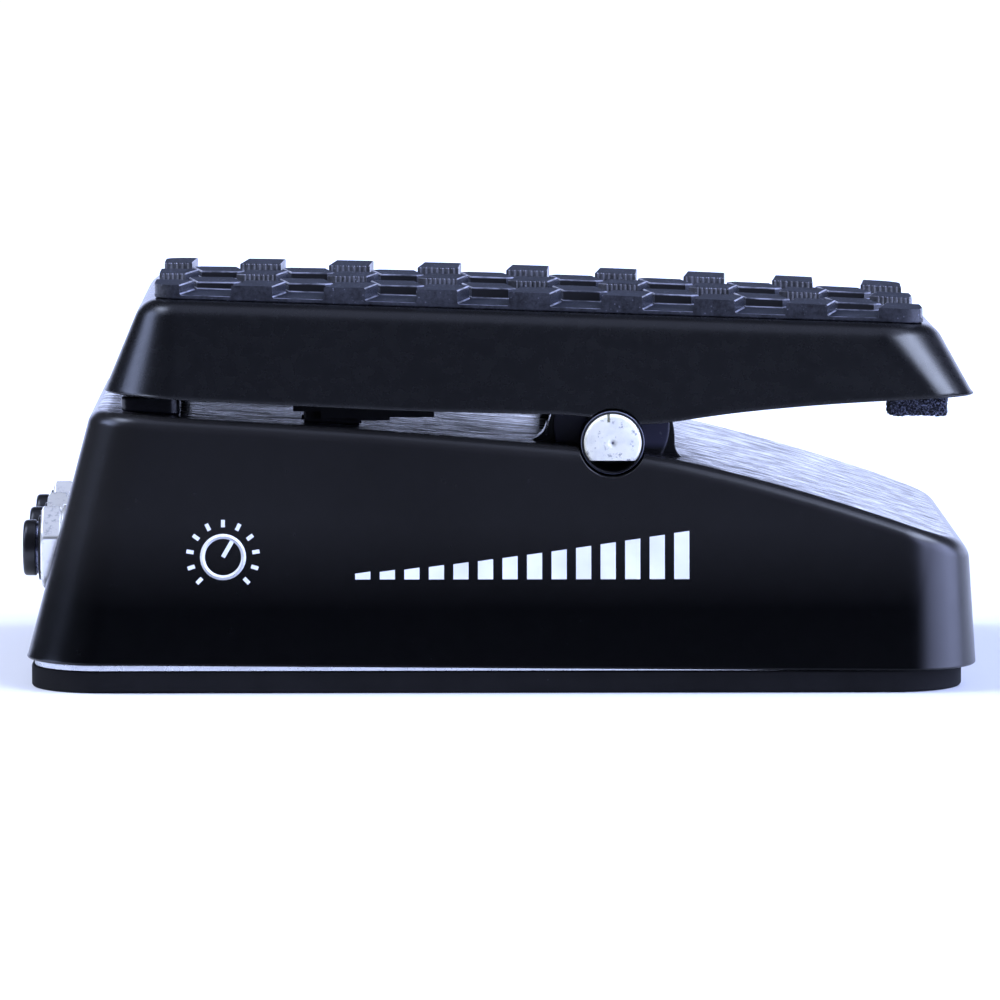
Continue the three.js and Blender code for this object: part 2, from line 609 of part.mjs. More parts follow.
function treadRubber() {
  const { firstX, pitch, rows, skew } = BLOCK;
  const points = makeStations(4).map((station) => pointAt(station, RUBBER));
  const ring = (height) => points.map(({ x, y }) => [x, y, treadleTop(x) + height]);
  const clip = loft([ring(-5), ring(9)]);
  let rubber = loft([ring(SHEET.gap), ring(SHEET.top)]);
  for (let i = 0; i < rows; i++) {
    for (const [y, halfWidth] of [[-26.4, 7.0], [0, 6.6], [26.4, 7.0]]) {
      rubber = rubber.add(block(firstX + pitch * i, y, halfWidth, skew).intersect(clip));
    }
  }
  for (let i = 0; i + 1 < rows; i++) {
    for (const y of [-13.1, 13.1]) {
      rubber = rubber.add(block(firstX + pitch * (i + 0.5), y, 5.9, -skew).intersect(clip));
    }
  }
  return rubber;
}
addPart('tread_rubber', treadRubber(), 'rubber');

// ---------------------------------------------------------------- pivot shaft and its screws
function pivotShaft() {
  const { x, z } = PIVOT;
  let shaft = cylinderY(x, z, SHAFT.radius, [-SHAFT.end, SHAFT.end]);
  shaft = cut(shaft, box(around(x, 6), [-60, 60], [z - 8, z - SHAFT.flat]));
  for (const [, side] of SIDES) {
    const nickY = onSide(side, SHAFT.end - 0.5, SHAFT.end + 1);
    shaft = cut(
      shaft,
      cylinderZ(x, side * SHAFT_SCREW.y, SHAFT_SCREW.hole, [30, 50], 16),
      box([x - 0.9, x - 0.5], nickY, [z + 3.6, z + 6]),  // small nick in the end face
    );
  }
  return shaft;
}
addPart('pivot_shaft', pivotShaft(), 'steel');
for (const [name, side] of SIDES) {
  addPart('shaft_screw_' + name, screw(PIVOT.x, side * SHAFT_SCREW.y, SHAFT_SCREW), 'steel');
}

// ---------------------------------------------------------------- drive sector, band and clamps
const CLAMPS = [['upper', 11.4, 14.4], ['lower', -39.6, -36.6]];  // name, from and to angle
const CLAMP_HOLE = 0.95;
const BAND_OUTER = SECTOR.outer + BAND.thickness;
// stepped underside and heel end shared by the sector's web and cheek: x, z
const SECTOR_STEPS = [[-24, 43.85], [-18.5, 43.85], [-18.5, 44.4], [-11.1, 44.4], [-11.1, 56.6]];
const WEB = [[-30.2, 43.2], [-24, 43.2], ...SECTOR_STEPS, [-30.2, 56.6]];
const CHEEK = [[-34.6, 45.4], [-30, 45.4], [-30, 44.2], [-24, 44.2], ...SECTOR_STEPS, [-34.6, 56.6]];

function driveSector() {
  const { y, inner, outer, low, top } = SECTOR;
  let sector = join(
    prismY(arcBand(inner, outer, low, top, 24), y),
    prismY(WEB, y),
    box([-34.2, -11.1], [-34.5, -21.5], [56.4, 58.95]),
  );
  for (const [, x] of SECTOR_SCREWS) {
    sector = cut(
      sector,
      cylinderZ(x, BAND.middle, 1.75, [50, 60], 16),
      box(around(x, 2.95), [-30.9, -24], [40, 56.45]),
    );
  }
  sector = join(sector, prismY(CHEEK, [-33, -30.9]));
  return cut(sector, ...clampHoles(39, 53));
}
function clampHoles(from, to) {
  return CLAMPS.map(([, low, high]) => radialCylinder(from, to, (low + high) / 2, CLAMP_HOLE));
}
function driveBand() {
  const { outer, low, top } = SECTOR;
  const strip = prismY(arcBand(outer + 0.02, BAND_OUTER, low + 0.2, top - 0.2, 24), BAND.y);
  return cut(strip, ...clampHoles(48, 55));
}
function bandClamp(low, high) {
  const strip = arcBand(BAND_OUTER + 0.03, BAND_OUTER + 0.95, low, high, 3);
  const hole = radialCylinder(48, 56, (low + high) / 2, CLAMP_HOLE);
  return cut(prismY(strip, [-30.6, -25.4]), hole);
}
function clampScrew(angle) {
  return join(
    radialCylinder(BAND_OUTER + 1.0, BAND_OUTER + 1.75, angle, 1.25),
    radialCylinder(46, BAND_OUTER + 1.2, angle, 0.75),
  );
}
addPart('drive_sector', driveSector(), 'alu');
for (const [name, x] of SECTOR_SCREWS) {
  addPart('sector_screw_' + name, screw(x, BAND.middle, SECTOR_SCREW), 'steel');
}
addPart('drive_band', driveBand(), 'steel');
for (const [name, low, high] of CLAMPS) {
  addPart('band_clamp_' + name, bandClamp(low, high), 'steel');
  addPart('clamp_screw_' + name, clampScrew((low + high) / 2), 'steel');
}

// ---------------------------------------------------------------- pot shaft, drum and band wrap
const drumBody = join(onDrumAxis(DRUM.radius, [-31.4, -24.2]), onDrumAxis(5.6, [-24.3, -22.7]));
const drum = cut(drumBody, onDrumAxis(POT.shaft + 0.05, [-40, -20]));
const wrap = cut(
  onDrumAxis(DRUM.radius + BAND.thickness, BAND.y),
  onDrumAxis(DRUM.radius + 0.03, [-31, -25]),
);
addPart('potentiometer_shaft', onDrumAxis(POT.shaft, [-32, POT.y[1] - 1.9]), 'alu');
addPart('band_drum', drum, 'brass');
addPart('band_wrap', wrap, 'steel');

// ---------------------------------------------------------------- heel foam pads
for (const [name, side] of SIDES) {
  addPart('heel_foam_pad_' + name, box(FOAM.x, onSide(side, ...FOAM.y), FOAM.z), 'foam');
}

export default group;
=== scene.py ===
"""A rocker foot pedal: a cast base with three jacks in its toe end, and above it a treadle
with a moulded rubber tread, rocking on a cross shaft.

The toe end lies towards -X and the heel end towards +X. The near side faces the camera,
towards -Y. Z is up and the pedal stands on Z = 0. Sizes are in millimetres unless said
otherwise; meshes, shader distances and the scene itself are in metres.
"""
import math
import random
from collections import namedtuple

import bmesh
import bpy
import numpy as np
from mathutils import Matrix, Vector, noise


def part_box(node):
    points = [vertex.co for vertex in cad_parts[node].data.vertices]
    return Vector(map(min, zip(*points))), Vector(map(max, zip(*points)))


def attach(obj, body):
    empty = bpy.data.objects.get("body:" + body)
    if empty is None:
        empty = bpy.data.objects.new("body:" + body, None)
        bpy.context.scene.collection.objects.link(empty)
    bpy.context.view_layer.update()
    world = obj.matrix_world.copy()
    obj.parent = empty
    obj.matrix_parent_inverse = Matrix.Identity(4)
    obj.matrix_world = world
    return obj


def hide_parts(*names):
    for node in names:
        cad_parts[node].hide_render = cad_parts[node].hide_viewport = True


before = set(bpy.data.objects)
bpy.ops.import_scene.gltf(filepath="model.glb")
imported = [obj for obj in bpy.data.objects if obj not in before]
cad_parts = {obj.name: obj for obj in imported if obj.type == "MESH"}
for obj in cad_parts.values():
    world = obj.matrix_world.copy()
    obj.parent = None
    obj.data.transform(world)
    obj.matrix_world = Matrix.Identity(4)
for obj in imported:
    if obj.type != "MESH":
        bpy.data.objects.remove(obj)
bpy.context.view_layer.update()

MM = 0.001
HALF_PI = math.pi / 2
SIDES = (("near", -1), ("far", 1))

# ------------------------------------------------------------------ driving sizes
PIVOT_X, PIVOT_Z = 18.35, 41.18
SHAFT_R, SHAFT_END = 4.7625, 45.3
SHAFT_FLAT = 2.9                        # depth of the flat underside below the shaft axis
SHAFT_SCREW_Y, SHAFT_SCREW_R = 24.5, 1.7
BUSH_IN, BUSH_OUT = 4.85, 5.25
BUSH_START, BUSH_END = 31.6, 44.8
NOTCH_R = 5.6                           # clearance round the shaft ends in both castings

BASE_WALL, BASE_FILLET = 3.0, 2.75
TREADLE_WALL, TREADLE_ROOF, TREADLE_FILLET = 2.9, 2.6, 4.5

JACK_Z, JACK_PITCH = 21.4, 21.4
PLATE_SCREWS = [(-62.5, -39.6), (-62.5, 39.6), (66.5, -38), (66.5, 38)]
PLATE_LEVEL = 4.6                       # height at which the plate and its rebate are outlined

# Side profile of the base's top: x, z
BASE_TOP = [
    (-84, 47.15), (-64.7, 45.96), (-49.84, 45.03), (-33.32, 44.02),
    (-16.8, 42.88), (-0.25, 41.49), (9.6, 40.65), (18.35, 39.8),
    (26, 38.8), (32.86, 37.41), (42.81, 34.95), (52.76, 32.16),
    (62.73, 29.04), (70.7, 26.33), (76.8, 24.25), (84, 21.8)]
# Side profile of the treadle's lower rim: x, z
TREADLE_RIM = [
    (-75, 49.2), (-66.5, 48.95), (-61.32, 48.72), (-49.77, 48.07),
    (-34.93, 47.35), (-16.78, 46.5), (-0.27, 46.05), (10, 45.8),
    (14.5, 45.4), (18.35, 44.75), (22.86, 44.28), (26, 44.36),
    (29.47, 44.75), (32.77, 45.22), (39.38, 46.05), (49.29, 46.96),
    (59.21, 47.62), (72.43, 48.25), (76.39, 48.4), (90, 48.6)]

# A plan outline: its two ends, half its width, and its corner radii.
Outline = namedtuple("Outline", "toe_x heel_x half_width toe_r heel_r")


def drafted(start, per_mm):
    """Outlines of drafted walls: a start outline and its change per mm of depth."""
    return lambda depth: Outline(*(a + b * depth for a, b in zip(start, per_mm)))


# The base is measured up from the floor, the treadle down from its top.
base_outline = drafted(Outline(-80.2, 79.4, 49.97, 12.8, 12.8),
                       Outline(0.262, -0.065, -0.104, -0.06, -0.06))
treadle_outline = drafted(Outline(-59.66, 72.4, 37, 6, 10),
                          Outline(-0.41, 0.562, 0.466, 0.4, -0.25))


def base_rim(x):
    return 4.78 - 0.0078 * (max(-70, min(70, x)) + 70)


def treadle_top(x):
    return 62.3 - 0.0338 * x


def base_depth(z, x):
    return z


def treadle_depth(z, x):
    return treadle_top(x) - z


def curve(points):
    """A smooth cubic curve through the points, level beyond both ends."""
    last = len(points) - 1
    slopes = []
    for i in range(last + 1):
        a, b = points[max(0, i - 1)], points[min(last, i + 1)]
        slopes.append((b[1] - a[1]) / (b[0] - a[0]))

    def value(x):
        if x <= points[0][0]:
            return points[0][1]
        if x >= points[-1][0]:
            return points[-1][1]
        i = 0
        while x > points[i + 1][0]:
            i += 1
        span = points[i + 1][0] - points[i][0]
        t = (x - points[i][0]) / span
        return ((2 * t ** 3 - 3 * t ** 2 + 1) * points[i][1]
                + (t ** 3 - 2 * t ** 2 + t) * span * slopes[i]
                + (-2 * t ** 3 + 3 * t ** 2) * points[i + 1][1]
                + (t ** 3 - t ** 2) * span * slopes[i + 1])
    return value


base_top, treadle_rim = curve(BASE_TOP), curve(TREADLE_RIM)


# ------------------------------------------------------------------ mesh helpers
def make(verts, faces):
    mesh = bpy.data.meshes.new("part")
    mesh.from_pydata([(x * MM, y * MM, z * MM) for x, y, z in verts], [], faces)
    mesh.validate()
    part = bpy.data.objects.new("part", mesh)
    bpy.context.scene.collection.objects.link(part)
    bm = bmesh.new()
    bm.from_mesh(mesh)
    bmesh.ops.remove_doubles(bm, verts=bm.verts, dist=1e-7)
    bmesh.ops.recalc_face_normals(bm, faces=bm.faces)
    bm.to_mesh(mesh)
    bm.free()
    return part


def duplicate(part):
    twin = bpy.data.objects.new("part", part.data.copy())
    bpy.context.scene.collection.objects.link(twin)
    return twin


def bake(part):
    """Apply the modifiers."""
    depsgraph = bpy.context.evaluated_depsgraph_get()
    mesh = bpy.data.meshes.new_from_object(part.evaluated_get(depsgraph))
    part.modifiers.clear()
    part.data = mesh


def bevel(part, width, segments):
    modifier = part.modifiers.new("bevel", "BEVEL")
    modifier.width = width * MM
    modifier.segments = segments
    modifier.limit_method = "ANGLE"
    bake(part)


def boolean(part, tool, operation, keep_tool=False):
    modifier = part.modifiers.new("boolean", "BOOLEAN")
    modifier.operation = operation
    modifier.object = tool
    modifier.solver = "MANIFOLD"
    bake(part)
    if not keep_tool:
        bpy.data.objects.remove(tool)


def cut(part, *tools):
    for tool in tools:
        boolean(part, tool, "DIFFERENCE")


def add(part, tool):
    boolean(part, tool, "UNION")


def clip(part, tool, keep_tool=False):
    boolean(part, tool, "INTERSECT", keep_tool)


def span(side, inner, outer):
    """The Y range between two distances from the centre plane, on side -1 or 1."""
    return sorted((side * inner, side * outer))


def box(x0, x1, y0, y1, z0, z1):
    verts = [(x, y, z) for x in (x0, x1) for y in (y0, y1) for z in (z0, z1)]
    return make(verts, [(0, 1, 3, 2), (4, 6, 7, 5), (0, 4, 5, 1),
                        (2, 3, 7, 6), (0, 2, 6, 4), (1, 5, 7, 3)])


def prism(ring_a, ring_b):
    """A solid between two matching rings of points."""
    n = len(ring_a)
    sides = [(i, (i + 1) % n, n + (i + 1) % n, n + i) for i in range(n)]
    return make(ring_a + ring_b, [tuple(range(n)), tuple(range(2 * n - 1, n - 1, -1))] + sides)


def lathe(profile, centre, axis, segments, closed=False):
    """Turn (radius, along) pairs. An open profile starts and ends on the axis; a closed
    one makes a ring."""
    place = {"X": lambda r, along, c, s: (along, r * c, r * s),
             "Y": lambda r, along, c, s: (r * s, along, r * c),
             "Z": lambda r, along, c, s: (r * c, r * s, along)}[axis]
    n = len(profile)
    verts, faces = [], []
    for k in range(segments):
        angle = 2 * math.pi * k / segments
        c, s = math.cos(angle), math.sin(angle)
        for r, along in profile:
            verts.append(tuple(a + b for a, b in zip(place(r, along, c, s), centre)))
    for k in range(segments):
        a, b = k * n, ((k + 1) % segments) * n
        for i in range(n if closed else n - 1):
            j = (i + 1) % n
            face = (a + i, a + j, b + j, b + i)
            if profile[i][0] < 1e-9:
                face = (a + i, a + j, b + j)
            elif profile[j][0] < 1e-9:
                face = (a + i, a + j, b + i)
            faces.append(face)
    return make(verts, faces)


def cylinder(axis, centre, radius, start, end, segments=96):
    return lathe([(0, start), (radius, start), (radius, end), (0, end)], centre, axis, segments)


# ------------------------------------------------------------------ lofts round a plan outline
def stations(arc_steps, side_steps):
    """Places along the near half of an outline, from the toe corner to the heel corner."""
    arc = [0.5 * k / arc_steps for k in range(arc_steps + 1)]
    return ([("toe", math.pi * (1 + t)) for t in arc]
            + [("side", k / side_steps) for k in range(1, side_steps)]
            + [("heel", math.pi * (1.5 + 0.5 * k / arc_steps)) for k in range(arc_steps + 1)])


def at(station, outline):
    """The point at a station and its outward normal: x, y, normal x, normal y."""
    part, place = station
    toe_x, heel_x, half_width, toe_r, heel_r = outline
    if part == "side":
        x = toe_x + toe_r + (heel_x - toe_x - toe_r - heel_r) * place
        return x, -half_width, 0.0, -1.0
    r = toe_r if part == "toe" else heel_r
    centre_x = toe_x + r if part == "toe" else heel_x - r
    c, s = math.cos(place), math.sin(place)
    return centre_x + r * c, -half_width + r + r * s, c, s


def inward(point, inset):
    x, y, normal_x, normal_y = point
    return x - normal_x * inset, y - normal_y * inset


def shrink(outline, by):
    return Outline(outline.toe_x + by, outline.heel_x - by, outline.half_width - by,
                   max(outline.toe_r - by, 1), max(outline.heel_r - by, 1))


def settle(station, outline_at, depth, height, point, rounds=10):
    """Slide a point along a drafted wall until it meets the surface z = height(x)."""
    for _ in range(rounds):
        x = point[0]
        z = height(x)
        point = at(station, outline_at(depth(z, x)))
    return point, z


def loft(rings):
    """Skin near-side half rings together with their far-side mirror images, and cap both ends."""
    n = len(rings[0])
    full = 2 * n
    verts, faces = [], []
    for ring in rings:
        verts += [tuple(p) for p in ring] + [(p[0], -p[1], p[2]) for p in reversed(ring)]
    for k in range(len(rings) - 1):
        for i in range(full):
            a, b = k * full + i, k * full + (i + 1) % full
            faces.append((a, b, b + full, a + full))
    top = (len(rings) - 1) * full
    for i in range(n - 1):
        a, b, c, d = i, i + 1, full - 2 - i, full - 1 - i
        faces.append((top + a, top + b, top + c, top + d))
        faces.append((a, d, c, b))
    return make(verts, faces)


def casting(path, outline_at, depth, top, low, fillet, fillet_steps, lip):
    """A solid with drafted walls, a rounded lower lip and a filleted upper edge."""
    columns = []
    for station in path:
        foot, foot_z = settle(station, outline_at, depth, low, at(station, outline_at(0)))
        edge, _ = settle(station, outline_at, depth, top, foot, rounds=11)
        x, y, normal_x, normal_y = edge
        below = at(station, outline_at(depth(top(x) - 1, x)))
        lean = math.atan((below[0] - x) * normal_x + (below[1] - y) * normal_y)
        column = []
        for k in range(4):
            angle = -HALF_PI + (HALF_PI + lean) * k / 4
            column.append((*inward(foot, lip * (1 - math.cos(angle))),
                           foot_z + lip * (1 + math.sin(angle))))
        wall_z = foot_z + lip * (1 + math.sin(lean))
        wall_start = (*at(station, outline_at(depth(wall_z, foot[0])))[:2], wall_z)
        column.append(wall_start)
        setback = fillet * math.tan((HALF_PI - lean) / 2)
        rounding = []
        for k in range(fillet_steps + 1):
            angle = lean + (HALF_PI - lean) * k / fillet_steps
            x, y = inward(edge, setback - fillet * math.cos(angle))
            rounding.append((x, y, top(x) - fillet * (1 - math.sin(angle))))
        for t in (0.03, 0.2, 0.4, 0.6, 0.8, 0.97):
            column.append(tuple(a + (b - a) * t for a, b in zip(wall_start, rounding[0])))
        x, y = inward(edge, setback + 0.5)
        columns.append(column + rounding + [(x, y, top(x))])
    return loft(list(zip(*columns)))


def cavity(path, outline_at, depth, top, low, wall, roof):
    """The hollow inside a casting, open at the bottom."""
    def inner_outline(d):
        return shrink(outline_at(d), wall)

    def ceiling(x):
        return top(x) - roof
    floor_ring, ceiling_ring = [], []
    for station in path:
        foot, z = settle(station, inner_outline, depth, low, at(station, inner_outline(0)))
        floor_ring.append((foot[0], foot[1], z))
        head, _ = settle(station, inner_outline, depth, ceiling, foot)
        ceiling_ring.append((head[0], head[1], ceiling(head[0])))
    return loft([floor_ring, ceiling_ring])


def rounded_slab(outline, z0, z1, lower_edge, upper_edge, arc_steps, edge_steps=4):
    """A flat slab with rounded plan corners and rolled edges."""
    levels = [(lower_edge + 0.4, z0)]
    angles = [HALF_PI * k / edge_steps for k in range(edge_steps + 1)]
    levels += [(lower_edge * (1 - math.sin(a)), z0 + lower_edge * (1 - math.cos(a)))
               for a in angles]
    levels += [(upper_edge * (1 - math.cos(a)), z1 - upper_edge * (1 - math.sin(a)))
               for a in angles]
    levels.append((upper_edge + 0.4, z1))
    points = [at(station, outline) for station in stations(arc_steps, 24)]
    return loft([[(*inward(p, inset), z) for p in points] for inset, z in levels])


def finish_piece(part, name, body, material, replaces=(), sharp=32, weighted=True):
    part.name = name
    part.data.name = name
    bm = bmesh.new()
    bm.from_mesh(part.data)
    bmesh.ops.remove_doubles(bm, verts=bm.verts, dist=2e-7)
    bmesh.ops.dissolve_degenerate(bm, edges=bm.edges, dist=1e-7)
    limit = math.radians(sharp)
    for face in bm.faces:
        face.smooth = True
    for edge in bm.edges:
        edge.smooth = not (len(edge.link_faces) == 2 and edge.calc_face_angle(0) > limit)
    bm.to_mesh(part.data)
    bm.free()
    if weighted:
        modifier = part.modifiers.new("wn", "WEIGHTED_NORMAL")
        modifier.keep_sharp = True
        modifier.weight = 70
    part.data.materials.clear()
    part.data.materials.append(material)
    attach(part, body)
    if replaces:
        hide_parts(*replaces)
    return part


# ------------------------------------------------------------------ shader helpers
class Graph:
    """Short ways to build a node tree. A value may be a number, a 3-tuple or a socket."""

    def __init__(self, tree):
        self.tree = tree

    def link(self, output, socket):
        self.tree.links.new(output, socket)

    def feed(self, socket, value):
        if isinstance(value, tuple):
            socket.default_value = (*value, 1) if socket.type == "RGBA" else value
        elif isinstance(value, (int, float)):
            socket.default_value = value
        else:
            self.link(value, socket)

    def node(self, kind, inputs=None, **settings):
        node = self.tree.nodes.new("ShaderNode" + kind)
        for key, value in settings.items():
            setattr(node, key, value)
        for key, value in (inputs or {}).items():
            self.feed(node.inputs[key], value)
        return node

    def math(self, operation, *values):
        return self.node("Math", dict(enumerate(values)), operation=operation).outputs[0]

    def mul(self, a, b):
        return self.math("MULTIPLY", a, b)

    def add(self, a, b):
        return self.math("ADD", a, b)

    def linear(self, value, gain, offset):
        return self.add(self.mul(value, gain), offset)

    def inverse(self, value):
        return self.math("SUBTRACT", 1.0, value)

    def split(self, vector):
        return self.node("SeparateXYZ", {0: vector}).outputs

    def smooth(self, value, lo, hi, to=(0.0, 1.0)):
        """An eased step from lo to hi."""
        return self.node("MapRange", {
            "From Min": lo, "From Max": hi, "To Min": to[0], "To Max": to[1],
            "Value": value}, interpolation_type="SMOOTHSTEP").outputs[0]

    def between(self, value, lo, hi, soft):
        return self.mul(self.smooth(value, lo - soft, lo + soft),
                        self.inverse(self.smooth(value, hi - soft, hi + soft)))

    def camera_ray(self):
        return self.node("LightPath").outputs["Is Camera Ray"]


class Shader(Graph):
    """A material round a Principled BSDF, with textures in object coordinates (metres)."""
    INPUTS = {"base": "Base Color", "rough": "Roughness", "metal": "Metallic",
              "normal": "Normal", "spec": "Specular IOR Level",
              "sheen": "Sheen Weight", "sheen_rough": "Sheen Roughness"}

    def __init__(self, name):
        self.material = bpy.data.materials.new(name)
        self.material.use_nodes = True
        super().__init__(self.material.node_tree)
        self.bsdf = self.tree.nodes["Principled BSDF"]
        self.coords = self.node("TexCoord").outputs["Object"]

    def mapping(self, stretch):
        return self.node("Mapping", {"Scale": stretch, "Vector": self.coords}).outputs[0]

    def noise(self, scale, detail=3.0, rough=0.5, stretch=(1, 1, 1), vector=None):
        return self.node("TexNoise", {
            "Scale": scale, "Detail": detail, "Roughness": rough,
            "Vector": self.mapping(stretch) if vector is None else vector}).outputs["Fac"]

    def voronoi(self, scale):
        return self.node("TexVoronoi", {
            "Scale": scale, "Vector": self.mapping((1, 1, 1))}).outputs["Distance"]

    def ramp(self, value, stops):
        """Grey levels at (position, level) stops."""
        node = self.node("ValToRGB", {"Fac": value})
        elements = node.color_ramp.elements
        while len(elements) < len(stops):
            elements.new(0.5)
        for element, (position, level) in zip(elements, stops):
            element.position = position
            element.color = (level, level, level, 1)
        return node.outputs["Color"]

    def fade(self, value, start, end, low=0.0, high=1.0):
        """Run from low at start to high at end."""
        return self.ramp(value, [(start, low), (end, high)])

    def specks(self, scale, size, patch_scale, patch_start, patch_end, detail, rough=0.5):
        """Small dots that show only in scattered patches."""
        dots = self.fade(self.voronoi(scale), 0.0, size, low=1.0, high=0.0)
        patches = self.noise(patch_scale, detail, rough)
        return self.mul(dots, self.fade(patches, patch_start, patch_end))

    def mix(self, factor, a, b):
        return self.node("Mix", {0: factor, 6: a, 7: b}, data_type="RGBA").outputs[2]

    def bump(self, height, strength, distance, normal=None):
        inputs = {"Strength": strength, "Distance": distance, "Height": height}
        if normal is not None:
            inputs["Normal"] = normal
        return self.node("Bump", inputs).outputs[0]

    def bevel(self, radius):
        """Softened edge normals, or none for a radius of 0."""
        if radius:
            return self.node("Bevel", {"Radius": radius}, samples=4).outputs[0]

    def surface_normal(self):
        return self.split(self.node("NewGeometry").outputs["Normal"])

    def set(self, **values):
        for key, value in values.items():
            self.feed(self.bsdf.inputs[self.INPUTS[key]], value)
        return self.material


def scaled(tone, factor):
    return tuple(c * factor for c in tone)


# ------------------------------------------------------------------ paints
DUST = (0.10, 0.105, 0.12)


def paint_grain(shader):
    """The paint's mid-scale noise and its finely pebbled normal."""
    fine = shader.noise(2600, detail=2.0)
    mid = shader.noise(420, rough=0.55)
    height = shader.add(fine, shader.mul(mid, 0.6))
    return mid, shader.bump(height, strength=0.35, distance=0.000012,
                            normal=shader.bevel(0.0003))


def paint_tone(shader, tone):
    broad = shader.noise(22, detail=2.0)
    return shader.mix(shader.fade(broad, 0.35, 0.65), tone, scaled(tone, 1.25))


def paint_dust(shader, colour):
    specks = shader.specks(340, size=0.035, patch_scale=60, patch_start=0.62,
                           patch_end=0.70, detail=1.0)
    return shader.mix(shader.mul(specks, 0.35), colour, DUST)


def treadle_paint():
    shader = Shader("treadle_paint")
    mid, normal = paint_grain(shader)
    colour = paint_dust(shader, paint_tone(shader, (0.0034, 0.0035, 0.0042)))
    return shader.set(base=colour, rough=shader.linear(mid, gain=0.10, offset=0.22),
                      normal=normal, spec=0.5)


def base_paint():
    """Black paint with fine lengthwise brushing on the faces that look up."""
    shader = Shader("base_paint")
    mid, normal = paint_grain(shader)
    brushing = shader.fade(
        shader.noise(1.0, detail=4.0, rough=0.65, stretch=(95, 640, 640)), 0.36, 0.66)
    normal_x, _, normal_z = shader.surface_normal()
    up = shader.fade(normal_z, 0.90, 0.94)
    x, y, z = shader.split(shader.coords)

    # painted shade: the paint is darker towards the floor
    high = shader.fade(shader.mul(z, 20.0), 0.28, 0.56)
    colour = shader.mix(high, (0.0010, 0.0011, 0.0014),
                        paint_tone(shader, (0.0090, 0.0088, 0.0092)))

    # the boss faces sit proud and are painted lighter, painted light against the shade under the
    # treadle: a band of |y|, above a height
    def side_step(start, end):
        return shader.fade(shader.mul(shader.math("ABSOLUTE", y), 10.0), start, end)
    boss = shader.mul(side_step(0.3735, 0.3755),
                      shader.fade(shader.mul(z, 10.0), 0.395, 0.405))
    boss = shader.mul(boss, shader.inverse(side_step(0.378, 0.380)))
    colour = shader.mix(boss, colour, (0.070, 0.070, 0.115))
    colour = paint_dust(shader, colour)

    rough = shader.add(shader.linear(mid, gain=0.08, offset=0.215),
                       shader.mul(up, shader.linear(brushing, gain=0.26, offset=-0.15)))
    # the brushing is shallower towards the heel
    calm = shader.fade(shader.linear(x, gain=10.0, offset=0.5), 0.56, 0.76,
                       low=1.0, high=0.38)
    normal = shader.bump(shader.mul(shader.mul(brushing, calm), up),
                         strength=0.6, distance=0.00006, normal=normal)
    # more shine high up, on top, and on faces turned to either end
    ends = shader.ramp(shader.math("ABSOLUTE", normal_x), [(0.0, 0.0), (0.25, 0.32), (0.62, 1.0)])
    shine = shader.math("MAXIMUM", shader.linear(high, gain=0.36, offset=0.12),
                        shader.mul(up, 0.5))
    shine = shader.math("MAXIMUM", shine, shader.mul(ends, 0.62))
    return shader.set(base=colour, rough=rough, normal=normal, spec=shine)


# ------------------------------------------------------------------ rubbers and foam
def rubber(name, tone, rough, dust, spec=0.45):
    shader = Shader(name)
    fine = shader.noise(1500, detail=4.0, rough=0.65)
    blotches = shader.noise(140, detail=4.0, rough=0.6)
    colour = shader.mix(shader.fade(blotches, 0.3, 0.75), tone, scaled(tone, 1.9))
    specks = shader.specks(620, size=0.09, patch_scale=95, patch_start=0.55,
                           patch_end=0.68, detail=2.0)
    colour = shader.mix(shader.mul(specks, dust), colour, (0.16, 0.17, 0.20))
    return shader.set(base=colour, spec=spec,
                      rough=shader.linear(blotches, gain=0.22, offset=rough - 0.11),
                      normal=shader.bump(fine, strength=0.5, distance=0.00004))


def tread_rubber_material():
    """Moulded rubber: matt tops, upright faces painted greyer as a painted sheen, dust in patches.
    """
    shader = Shader("tread_rubber")
    up = shader.fade(shader.surface_normal()["Z"], 0.80, 0.97)
    fine = shader.noise(1500, detail=4.0, rough=0.65)
    blotches = shader.noise(210, detail=4.0, rough=0.6)
    mottle = shader.mul(shader.add(blotches, fine), 0.5)
    # painted light: upright faces are painted greyer than the tops for the light they catch; the
    # mottle on them is random tone
    side = shader.mix(shader.fade(mottle, 0.38, 0.62),
                      (0.009, 0.0095, 0.012), (0.050, 0.053, 0.067))
    top = shader.mix(shader.fade(blotches, 0.3, 0.75),
                     (0.010, 0.0115, 0.017), (0.022, 0.025, 0.036))
    specks = shader.specks(1400, size=0.22, patch_scale=420, patch_start=0.47,
                           patch_end=0.60, detail=3.0, rough=0.7)
    colour = shader.mix(shader.mul(specks, 0.8), shader.mix(up, side, top), (0.30, 0.32, 0.42))
    rough = shader.add(shader.mul(blotches, 0.2), shader.linear(up, gain=0.30, offset=0.42))
    return shader.set(base=colour, rough=rough,
                      normal=shader.bump(fine, strength=0.5, distance=0.00004),
                      spec=shader.linear(up, gain=-0.34, offset=0.42))


def tread_edge_material():
    """Paler rubber for the rolled edges of the tread blocks, a painted highlight."""
    shader = Shader("tread_rubber_edge")
    fine = shader.noise(1500, detail=4.0, rough=0.65)
    # painted highlight: a mottle between dark and pale rubber, where the rolled edges catch the
    # light
    painted_edge_highlight = shader.fade(shader.noise(240, rough=0.65), 0.38, 0.62)
    return shader.set(base=shader.mix(painted_edge_highlight, (0.035, 0.038, 0.050), (0.24, 0.25, 0.32)),
                      rough=0.4, spec=0.5,
                      normal=shader.bump(fine, strength=0.4, distance=0.00003))


def foam_material():
    shader = Shader("foam_fibre")
    cells = shader.voronoi(2100)
    fibres = shader.noise(2900, rough=0.75)
    colour = shader.mix(shader.fade(fibres, 0.50, 0.60),
                        (0.0025, 0.0027, 0.004), (0.20, 0.22, 0.33))
    normal = shader.bump(shader.add(cells, fibres), strength=1.0, distance=0.0003)
    return shader.set(base=colour, rough=0.95, normal=normal, spec=0.1,
                      sheen=0.15, sheen_rough=0.6)


